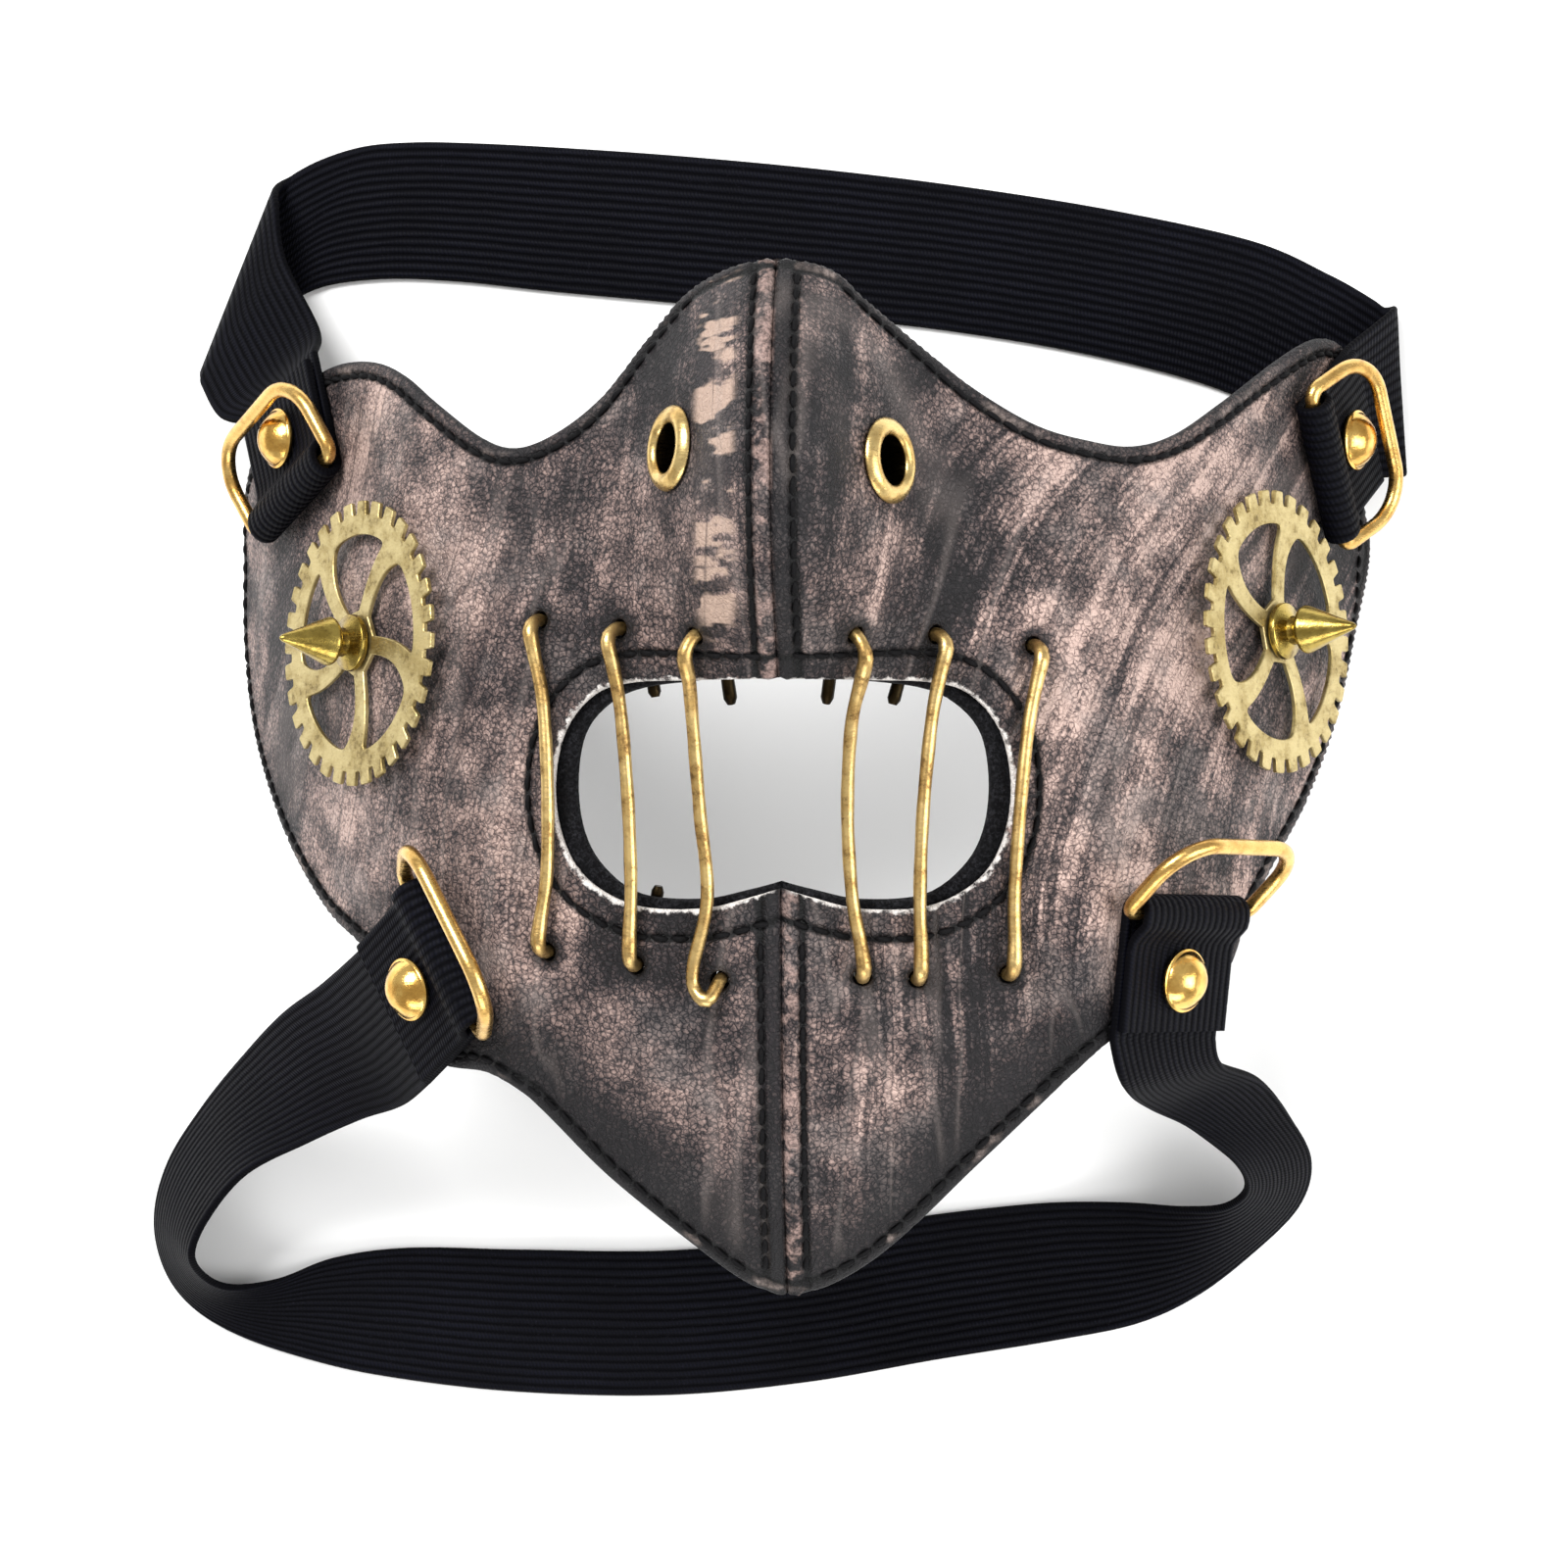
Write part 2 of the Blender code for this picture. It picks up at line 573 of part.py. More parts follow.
def gear_openings():
    """Five windows between nearly straight spokes, each leaning clockwise and flared on that side."""
    loops = []
    inner, outer, turn = 5.2, 17.1, 2 * math.pi / 5
    steps = 7
    for k in range(5):
        rows = []
        for i in range(steps):
            t = i / (steps - 1)
            r = inner + (outer - inner) * t
            rows.append((r, turn * k - 0.14 * t * t, 1.45 / r, (1.45 + 2.9 * t ** 3) / r))
        loop = [(r, a + near) for r, a, near, far in rows]
        lo, hi = loop[-1][1], rows[-1][1] + turn - rows[-1][3]
        loop += [(outer, lo + (hi - lo) * i / 5) for i in range(1, 5)]
        loop += [(r, a + turn - far) for r, a, near, far in reversed(rows)]
        loops.append([(r * math.cos(a), r * math.sin(a)) for r, a in loop])
    bore = [(1.54 * math.cos(t), 1.54 * math.sin(t)) for t in np.linspace(0, 2 * math.pi, 17)[:-1]]
    return loops + [bore]


def turned(loop, angle):
    c, s = math.cos(angle), math.sin(angle)
    return [(x * c - y * s, x * s + y * c) for x, y in loop]


for side_name, at in GEARS.items():
    f = frame_at(*at)
    phase = GEAR_PHASE[side_name]
    gear = plate("gear_" + side_name, turned(gear_outline(), phase), [turned(h, phase) for h in gear_openings()], [],
                 lambda x, y: Vector((x, y, GEAR_H + GEAR_T)), lambda x, y: Vector((x, y, GEAR_H)),
                 GEAR_METAL, f)
    top = GEAR_H + GEAR_T + 0.3
    lathe("spike_" + side_name,
          [(0.0, top + 6.0), (1.7, top + 6.0), (1.7, top), (4.3, top), (4.5, top + 0.3), (4.4, top + 1.1),
           (3.2, top + 1.5), (2.3, top + 2.0), (2.3, top + 3.6), (3.4, top + 4.0), (3.8, top + 4.5),
           (2.2, top + 8.6), (0.5, top + 12.8), (0.0, top + 13.2)], BRASS, f)
    lathe("spike_screw_" + side_name,
          [(0.0, top + 5.4), (1.45, top + 5.4), (1.45, INNER_H - 0.5), (4.2, INNER_H - 0.5),
           (4.2, INNER_H - 1.3), (3.2, INNER_H - 1.9), (0.0, INNER_H - 1.9)], BRASS, f, 12)

# --------------------------------------------------------------------------- rings, rivets and tabs


def ring_path():
    near, far = 2.0, 7.5
    w, d = RING_HALF_W, RING_DEPTH
    pts = []
    for cx, cy, r, a0 in ((near, w - near, near, 180), (d - far, w - far, far, 90),
                          (d - far, -w + far, far, 0), (near, -w + near, near, -90)):
        count = 3 if r < 3 else 6
        for k in range(count + 1):
            a = math.radians(a0 - 90.0 * k / count)
            pts.append((cx + r * math.cos(a), cy + r * math.sin(a), 0.0))
    return pts


for name, corner in CORNERS.items():
    f = corner_frame(name)
    lathe("rivet_" + name,
          [(0.0, 7.1), (1.6, 6.95), (3.1, 6.35), (4.2, 5.4), (4.85, 4.3), (4.9, 3.75), (1.5, 3.7),
           (1.5, INNER_H - 1.4), (0.0, INNER_H - 1.4)], GOLD, f)
    lathe("rivet_cap_" + name,
          [(0.0, INNER_H - 1.7), (1.8, INNER_H - 1.7), (1.8, INNER_H - 0.4), (4.4, INNER_H - 0.4),
           (4.2, INNER_H - 1.5), (2.4, INNER_H - 2.3), (0.0, INNER_H - 2.5)], GOLD, f, 12)
    swing = math.radians(180.0 - corner["swing"])
    local = (f @ Matrix.Translation((-BAR_FROM_RIVET, 0, BAR_H))
             @ Matrix.Rotation(-swing, 4, "Y"))
    tube("ring_" + name, ring_path(), RING_WIRE_R, BRASS, 8, True, local)

# -------------------------------------------------------------------------------------- head straps


def tab_rows(name, outward_first):
    """Folded strap end: flap, turn around the ring bar, lower layer; as pairs of edge points."""
    f = corner_frame(name)
    low = 0.4 + ELASTIC_T / 2
    flap = low + ELASTIC_T + 0.3
    x0 = -BAR_FROM_RIVET
    turn = BAR_H - low
    path = [(FLAP_END, flap), (4.0, flap), (0.0, flap), (-4.2, flap), (-5.7, flap + 0.25),
            (-7.0, flap + 1.15), (-8.5, BAR_H + turn - 0.2)]
    for k in range(9):
        a = math.radians(90 + 22.5 * k)
        path.append((x0 + turn * math.cos(a), BAR_H + turn * math.sin(a)))
    path += [(-7.0, low), (-3.5, low), (0.0, low), (4.0, low), (FLAP_END, low), (FLAP_END + 1.5, low)]
    rows = []
    for x, h in path:
        rows.append((f @ Vector((x, ELASTIC_HALF_W, h)), f @ Vector((x, -ELASTIC_HALF_W, h))))
    return rows if outward_first else list(reversed(rows))


def swap(rows):
    return [(b, a) for a, b in rows]


def ribbon(name, rows, across=2):
    centre = [(a + b) * 0.5 for a, b in rows]
    verts = []
    n = len(rows)
    half = ELASTIC_T / 2
    for i in range(n):
        run = (centre[min(i + 1, n - 1)] - centre[max(i - 1, 0)]).normalized()
        face = run.cross(rows[i][1] - rows[i][0]).normalized()
        for sign in (1, -1):
            for k in range(across + 1):
                verts.append(rows[i][0].lerp(rows[i][1], k / across) + face * (half * sign))
    per = 2 * (across + 1)
    loop = list(range(across + 1)) + list(range(per - 1, across, -1))
    faces = []
    for i in range(n - 1):
        for k in range(per):
            a = loop[k]
            b = loop[(k + 1) % per]
            faces.append((i * per + a, i * per + b, (i + 1) * per + b, (i + 1) * per + a))
    faces.append(tuple(loop))
    faces.append(tuple((n - 1) * per + k for k in reversed(loop)))
    return add_object(name, verts, faces, ELASTIC, round_faces=False)


def smooth_rows(rows, step):
    left = [a for a, _ in rows]
    right = [b for _, b in rows]
    out = []
    n = len(rows)
    for i in range(n - 1):
        count = max(1, round(((left[i + 1] - left[i]).length + (right[i + 1] - right[i]).length) / 2 / step))
        for k in range(count):
            t = k / count
            pair = []
            for pts in (left, right):
                p1 = pts[i]
                p2 = pts[i + 1]
                p0 = pts[i - 1] if i > 0 else p1 * 2 - p2
                p3 = pts[i + 2] if i < n - 2 else p2 * 2 - p1
                pair.append(0.5 * (2 * p1 + (p2 - p0) * t + (2 * p0 - 5 * p1 + 4 * p2 - p3) * t ** 2
                                   + (3 * p1 - p0 - 3 * p2 + p3) * t ** 3))
            out.append(tuple(pair))
    out.append(rows[-1])
    floor = ELASTIC_T / 2
    return [tuple(Vector((p.x, p.y, max(p.z, floor))) for p in pair) for pair in out]


def strap(name, left_tab, right_tab, run, cutters):
    run = [(Vector(a), Vector(b)) for a, b in run]
    head = left_tab
    rest = right_tab
    middle = smooth_rows([head[-2], head[-1], *run, rest[0], rest[1]], 8.0)
    rows = head[:-2] + middle + rest[2:]
    obj = ribbon(name, rows)
    for i, corner in enumerate(cutters):
        f = corner_frame(corner)
        tool = lathe("cut_" + corner, [(0.0, 5.0), (1.8, 5.0), (1.8, -1.0), (0.0, -1.0)], ELASTIC, f, 12)
        MASK.objects.unlink(tool)
        CUTTERS.objects.link(tool)
        tool.display_type = "WIRE"
        tool.hide_render = True
        mod = obj.modifiers.new("rivet_hole_" + str(i), "BOOLEAN")
        mod.operation = "DIFFERENCE"
        mod.solver = "EXACT"
        mod.object = tool
    return obj


CUTTERS = bpy.data.collections.new("cutters")
bpy.context.scene.collection.children.link(CUTTERS)


def facing(rows, outer_hint):
    """Order each pair so that its first point is the edge nearer to the hint."""
    a, b = rows[0]
    hint = Vector(outer_hint)
    return rows if (a - hint).length < (b - hint).length else swap(rows)


strap("upper_strap", facing(tab_rows("upper_left", True), UPPER_RUN[0][0]),
      facing(tab_rows("upper_right", False), UPPER_RUN[-1][0]), UPPER_RUN, ("upper_left", "upper_right"))
strap("lower_strap", facing(tab_rows("lower_left", True), LOWER_RUN[0][0]),
      facing(tab_rows("lower_right", False), LOWER_RUN[-1][0]), LOWER_RUN, ("lower_left", "lower_right"))
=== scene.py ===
"""Looks of the half-face costume mask: bronzed leather shell, padded lining, wire bars, gears, spikes,
ring tabs and elastic straps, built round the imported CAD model.  Lengths are in millimetres in the
mask's own frame until a mesh is made, and the shell has the form it has in the CAD source."""
import math
from functools import reduce
import bpy
import bmesh
import numpy as np
from mathutils import Matrix, Vector
from mathutils.geometry import delaunay_2d_cdt


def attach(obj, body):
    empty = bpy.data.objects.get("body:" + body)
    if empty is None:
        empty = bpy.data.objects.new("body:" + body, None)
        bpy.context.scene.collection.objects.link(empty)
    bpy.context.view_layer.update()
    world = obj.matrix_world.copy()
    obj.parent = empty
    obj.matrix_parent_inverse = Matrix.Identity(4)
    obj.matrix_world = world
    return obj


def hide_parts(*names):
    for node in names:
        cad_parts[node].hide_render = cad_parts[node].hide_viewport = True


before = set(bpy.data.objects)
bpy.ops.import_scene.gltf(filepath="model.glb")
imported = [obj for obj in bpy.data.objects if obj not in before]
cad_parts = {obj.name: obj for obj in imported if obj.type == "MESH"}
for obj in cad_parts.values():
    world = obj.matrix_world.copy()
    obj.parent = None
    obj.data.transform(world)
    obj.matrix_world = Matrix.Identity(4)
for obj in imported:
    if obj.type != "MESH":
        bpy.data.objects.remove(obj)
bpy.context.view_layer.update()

MM = 0.001
SHIFT = np.array((5.66, -2.73, 0.0))    # of the mask's own frame in the shared one

# shell form
RIDGE_Y = (-82, -60, -40, -20, 0, 15, 30, 45, 60, 82)
CHEEK_Z = (56, 70, 77, 81, 83, 83, 82, 80, 77, 70)
RIDGE_Z = (6, 4, 2, 1, 2, 9, 24, 31, 30, 20)
RIDGE_WIDTH, RIDGE_POWER = 17.0, 2.2
WRAP_DEPTH, WRAP_HALF, WRAP_POWER = 76.8, 95.0, 2.8
PANEL_T, LAYER_GAP, LINING_T, SEAM_GAP = 1.4, 0.6, 2.0, 0.004
INNER_H = -(PANEL_T + LAYER_GAP + LINING_T)
WIRE_R, WIRE_HOLE_R, RING_WIRE_R = 1.0, 1.5, 1.2
RING_HALF_W, RING_DEPTH = 14.3, 15.0
ELASTIC_T, ELASTIC_HALF_W = 1.3, 12.4
BAR_FROM_RIVET, BAR_H, FLAP_END = 10.3, 3.2, 8.0
GEAR_R, GEAR_TEETH, GEAR_T, GEAR_H = 22.3, 32, 0.8, 1.0
GEAR_PHASE = {"left": -0.45, "right": 0.0}
GEAR_SPOKES, GEAR_BORE_R, GEAR_CUT = 5, 1.54, 0.14
EYELET_HOLE_R, RIVET_HOLE_R = 4.65, 1.9
RIB_PITCH, TWILL_PITCH = 1.46, 0.62
# stitch lines, from the border, the mouth and the centre seam; a stitch and its rings of points
EDGE_STITCH, MOUTH_STITCH, SEAM_STITCH = 2.4, 4.3, 3.1
STITCH, STITCH_PITCH, THREAD_R, STITCH_ROWS, STITCH_SIDES = 2.75, 3.15, 0.36, 7, 8
STEP = 1.3          # between mesh points along the borders
BATCH = 1500        # points whose distances are taken at a time
BRASS = "antique_brass"
# metres and degrees; the focal length is in frame widths
FLOOR_HALF, FLOOR_Z = 3.0, -0.0004
CAMERA_AIM, CAMERA_DISTANCE, CAMERA_TILT, FOCAL_IN_FRAMES = (0.00406, -0.00273, 0.043), 0.587, 3.0, 2.3625

LEFT_EDGE = ((-8, 75), (-14.5, 72), (-21, 65.5), (-27.5, 58), (-34.5, 53), (-41, 51), (-47, 53), (-55, 59),
    (-61, 64), (-67, 67), (-75, 67.5), (-82, 65), (-88, 61), (-93, 54.5), (-96, 47),
    (-96.5, 36), (-95.5, 21), (-92, 6.5), (-84.5, -8.5), (-76, -19.5), (-70, -24), (-65, -28),
    (-61.5, -34), (-57.5, -40.5), (-53.5, -43.5), (-46, -44), (-41, -46.5), (-36, -51), (-27, -60),
    (-15, -70), (-6, -76.5))
RIGHT_EDGE = ((8, 75), (13, 71), (21, 65), (29, 59), (38, 54), (46, 52), (53, 51.5), (60, 54),
    (68, 60), (77, 67.5), (85, 72.5), (90, 71.5), (92, 66), (92.5, 57), (94, 47), (95, 38),
    (92, 26), (88, 11), (82.5, -2), (76.5, -12), (72, -20), (69, -28), (66, -33.5), (61.5, -36.5),
    (54, -37.5), (48.5, -39.5), (41, -46.5), (29, -58), (20, -67), (13, -73), (6, -77))
TOP_Y, CHIN_Y = 76.6, -78.4
MOUTH_HALF = ((12, 15), (22, 15), (28, 13.4), (32.6, 8), (34.3, 0), (33.2, -8), (29.5, -14.2),
    (22, -18.2), (12, -18.6), (5, -17))
LINING_MOUTH_HALF = ((12, 14.2), (21.5, 14.1), (26.6, 12), (30.4, 7.4), (31.6, 0), (30.6, -7.4),
    (27.4, -12.8), (21.5, -16.8), (12, -17.4), (5, -16))
MOUTH_TOP, MOUTH_BOTTOM = 15.0, -15.5

# mouth wires: top hole, x at mid height, bottom hole, and how far each tail reaches inside
WIRES = (
    ((-36.5, 24.5), -34.3, (-35.6, -25.2), (1.5, 7.0), (-1.0, -7.0)),
    ((-24.0, 23.0), -22.2, (-22.0, -27.0), (2.5, -10.5), (2.2, 11.0)),
    ((-12.0, 21.5), -11.6, (-9.2, -29.2), (3.5, -12.0), (0.5, -7.0)),
    ((11.5, 21.5), 9.8, (12.0, -28.6), (-3.8, -12.0), (-0.5, -7.0)),
    ((23.0, 22.0), 20.7, (20.2, -29.0), (-4.0, -11.0), (1.0, -7.0)),
    ((37.5, 20.6), 34.7, (33.6, -28.4), (-1.0, 7.0), (1.0, -7.0)),
)
CURLED_WIRE = 3
EYELETS = {"left": (-15.0, 48.6), "right": (15.8, 46.8)}
GEARS = {"left": (-66.5, 21.9), "right": (75.0, 23.9)}
CORNERS = {
    "upper_left": {"at": (-81.8, 56.4), "fall": (1.3, 0.0), "bar": (0.81, 0.59), "swing": 162.0},
    "upper_right": {"at": (87.5, 56.5), "fall": (-1.7, 0.1), "bar": (-0.274, 0.96), "swing": 162.0},
    "lower_left": {"at": (-55.4, -30.9), "fall": (0.97, 0.2), "bar": (-0.484, 0.875), "swing": 28.0},
    "lower_right": {"at": (57.5, -29.5), "fall": (-1.1, 0.15), "bar": (1.0, -0.05), "swing": 42.0},
}
EYELET_PAD, CORNER_PAD = (7.5, 12.0), (16.0, 30.0)      # flat as far as the first radius

# strap edges between the ring tabs: outer or lower point, then inner or upper one; 0 is on the floor
UPPER_RUN = (
    -98, 61.5, 12.5, -80.5, 76, 17.5,  -101.8, 67, 8.8, -87.3, 88.5, 11.5,
    -102.2, 68.4, 7.6, -89.2, 98.5, 8.2,  -102.6, 69.5, 4.6, -89.9, 101.6, 4.6,
    -101, 71, 0.75, -88.6, 103.8, 0.75,  -95, 76.5, 0, -83, 106.8, 0,
    -85.5, 84, 0, -75.5, 109, 0,  -74, 86.2, 0, -67, 109.6, 0,
    -60, 85.8, 0, -58, 109.4, 0,  -44, 84, 0, -44, 108.6, 0,
    -24, 82, 0, -22, 106.9, 0,  0, 79.6, 0, 2.5, 104.4, 0,  24, 76.8, 0, 27, 101.2, 0,
    47, 72.8, 0, 52, 97, 0,  67, 67.6, 0, 75.5, 91.6, 0,  80.5, 61.6, 0, 88, 86, 0,
    92, 55, 0, 95, 82, 0,  97.6, 52, 1.4, 97.4, 80.2, 1.4,  100.2, 51.4, 4.6, 98.4, 79.6, 4.6,
)
LOWER_RUN = (
    -76, -32, 39.5, -62, -51, 46,  -84.5, -37.5, 28.5, -70, -54, 37.5,  -93, -45, 16.5, -80, -58.5, 31,
    -102, -54.5, 6, -91, -64, 26,  -109, -64.5, 1.4, -98, -71.5, 22,  -111.5, -74, 0.8, -101, -78, 21,
    -110, -82.5, 0.7, -100, -82.6, 15,  -105.5, -89, 0, -96.5, -85, 9,
    -97.5, -94.2, 0, -90, -84.4, 3.6,  -86, -98.2, 0, -81, -81, 0.9,
    -72, -101.2, 0, -68, -79.2, 0,  -50, -103.6, 0, -48, -79.4, 0,
    -24, -104, 0, -24, -79.4, 0,  0, -101.6, 0, -2, -77.2, 0,
    22, -97.6, 0, 19, -73.4, 0,  42, -94.2, 0, 39, -71, 0.75,  56, -91.2, 0, 53, -70.4, 3.5,
    66, -86.4, 0.7, 63, -70.4, 10,  75, -79, 1.6, 69.5, -69.2, 18,  82.5, -70.6, 5, 72.5, -65.6, 24.5,
    84, -62.5, 12, 70, -60.6, 32,  80, -54.5, 21.5, 62.5, -54.6, 39,
    74.5, -47.5, 33, 55.5, -50.5, 48.5,  67, -43.5, 49, 51, -45.8, 66.5,
)

# --- shell geometry


def hermite(xs, ys, x):
    xs, ys, x = np.asarray(xs, float), np.asarray(ys, float), np.asarray(x, float)
    gap = np.diff(xs)
    slope = np.diff(ys) / gap
    mid = (slope[1:] * gap[:-1] + slope[:-1] * gap[1:]) / (xs[2:] - xs[:-2])
    tang = np.concatenate((slope[:1], mid, slope[-1:]))
    held = np.clip(x, xs[0], xs[-1])
    i = np.clip(np.searchsorted(xs, held, side="right") - 1, 0, len(xs) - 2)
    h = xs[i + 1] - xs[i]
    t = (held - xs[i]) / h
    return ((2 * t ** 3 - 3 * t ** 2 + 1) * ys[i] + (t ** 3 - 2 * t ** 2 + t) * h * tang[i]
            + (3 * t ** 2 - 2 * t ** 3) * ys[i + 1] + (t ** 3 - t ** 2) * h * tang[i + 1]
            + (x - held) * np.where(x < held, tang[0], tang[-1]))


def smooth(t):
    t = np.clip(t, 0.0, 1.0)
    return t * t * (3 - 2 * t)


def unit(v):
    return v / np.linalg.norm(v, axis=-1, keepdims=True)


def free_height(x, y, power=RIDGE_POWER, width=RIDGE_WIDTH):
    s = np.abs(x)
    return (hermite(RIDGE_Y, CHEEK_Z, y) + hermite(RIDGE_Y, RIDGE_Z, y) * np.exp(-(s / width) ** power)
            - WRAP_DEPTH * (s / WRAP_HALF) ** WRAP_POWER)


def slopes(fn, x, y):
    e = 0.05
    return (fn(x + e, y) - fn(x - e, y)) / (2 * e), (fn(x, y + e) - fn(x, y - e)) / (2 * e)


PADS = [(at, float(free_height(*at)), tuple(float(s) for s in slopes(free_height, *at)), EYELET_PAD)
        for at in EYELETS.values()]
PADS += [(c["at"], float(free_height(*c["at"])), c["fall"], CORNER_PAD) for c in CORNERS.values()]


def pad_mix(x, y, value, flat):
    for at, z0, fall, (r0, r1) in PADS:
        dx, dy = x - at[0], y - at[1]
        rise = fall[0] * dx + fall[1] * dy
        k = smooth((np.sqrt(dx * dx + dy * dy + rise * rise) - r0) / (r1 - r0))
        if value.ndim > k.ndim:
            k = k[..., None]
        value = flat(z0 + rise, fall) * (1 - k) + value * k
    return value


def height(x, y):
    return pad_mix(x, y, free_height(x, y), lambda z, fall: z)


def normal(x, y):
    fx, fy = slopes(lambda a, b: free_height(a, b, 3.0, 18.0), x, y)
    up = unit(np.stack((-fx, -fy, np.ones_like(fx)), -1))
    return unit(pad_mix(x, y, up, lambda z, fall: unit(np.array((-fall[0], -fall[1], 1.0)))))


def skin(x, y, h):
    x, y = np.asarray(x, float), np.asarray(y, float)
    return np.stack((x, y, height(x, y)), -1) + normal(x, y) * np.asarray(h, float)[..., None]


def on_shell(plan, h=0.0):
    """The plan points, h mm off the shell."""
    return skin(plan[:, 0], plan[:, 1], h)


def frame_at(x, y, along=(0.0, 1.0)):
    """Local frame on the shell: X along `along` lifted onto the surface, Z the surface normal."""
    x, y = np.float64(x), np.float64(y)
    n = Vector(normal(x, y))
    fall = slopes(height, x, y)
    a = Vector((along[0], along[1], fall[0] * along[0] + fall[1] * along[1]))
    a = (a - n * a.dot(n)).normalized()
    return Matrix.Translation((x, y, height(x, y))) @ Matrix((a, n.cross(a), n)).transposed().to_4x4()


def corner_frame(name):
    """Frame of a ring tab: X points outward along the strap, Y along the ring bar, Z off the shell."""
    c = CORNERS[name]
    f = frame_at(*c["at"], c["bar"])
    n = f.col[2].xyz
    out = f.col[0].xyz.cross(n)
    if f.translation.dot(out) < 0:
        out = -out
    return Matrix.Translation(f.translation) @ Matrix((out, n.cross(out), n)).transposed().to_4x4()


def catmull(points, step):
    """Smooth line through points, or band through pairs of points, sampled about every `step`."""
    pts = np.asarray(points, float)
    pts = [2 * pts[0] - pts[1], *pts, 2 * pts[-1] - pts[-2]]
    out = []
    for p0, p1, p2, p3 in zip(pts, pts[1:], pts[2:], pts[3:]):
        count = max(1, round(float(np.linalg.norm(p2 - p1, axis=-1).mean()) / step))
        for k in range(count):
            t = k / count
            out.append(0.5 * (2 * p1 + (p2 - p0) * t + (2 * p0 - 5 * p1 + 4 * p2 - p3) * t ** 2
                              + (3 * p1 - p0 - 3 * p2 + p3) * t ** 3))
    return np.array(out + [pts[-2]])


def inside(loop, pts):
    """Which of the plan points are inside the loop."""
    hit = np.zeros(len(pts), bool)
    x, y = pts[:, 0], pts[:, 1]
    for (x1, y1), (x2, y2) in zip(loop, np.roll(loop, 1, axis=0)):
        if y1 != y2:
            hit ^= ((y1 > y) != (y2 > y)) & (x < (x2 - x1) * (y - y1) / (y2 - y1) + x1)
    return hit


def nearest(pts, line):
    """Distance from each point to the nearest point of a dense line."""
    out = np.empty(len(pts))
    for i in range(0, len(pts), BATCH):
        d = pts[i:i + BATCH, None] - line
        out[i:i + BATCH] = np.sqrt((d * d).sum(-1).min(1))
    return out


def hole_loop(x, y, radius, count):
    f = frame_at(x, y)
    out = []
    for k in range(count):
        a, b = polar(radius, 2 * math.pi * k / count)
        p = f.col[0].xyz * a + f.col[1].xyz * b
        out.append((x + p.x, y + p.y))
    return np.array(out)


def polar(r, a):
    return r * math.cos(a), r * math.sin(a)


def hump(d, at, width):
    return np.exp(-((d - at) / width) ** 2)


def soften(profile, cut, closed=False):
    """Rounds the corners of a profile; an open one keeps its ends."""
    pts = [np.array(p, float) for p in profile]
    n = len(pts)
    out = []
    for i, p in enumerate(pts):
        if not closed and i in (0, n - 1):
            out.append(p)
            continue
        a, b = pts[i - 1] - p, pts[(i + 1) % n] - p
        la, lb = np.linalg.norm(a), np.linalg.norm(b)
        d = min(cut, 0.45 * la, 0.45 * lb)
        start, end = p + a / la * d, p + b / lb * d
        for t in (0.0, 0.33, 0.67, 1.0):
            out.append(start * (1 - t) ** 2 + p * 2 * t * (1 - t) + end * t * t)
    return out


# --- materials


def rgb(tone):
    """Linear colour of a tone written in hex."""
    values = [int(tone[i:i + 2], 16) / 255.0 for i in (0, 2, 4)]
    return (*(v / 12.92 if v <= 0.04045 else ((v + 0.055) / 1.055) ** 2.4 for v in values), 1.0)


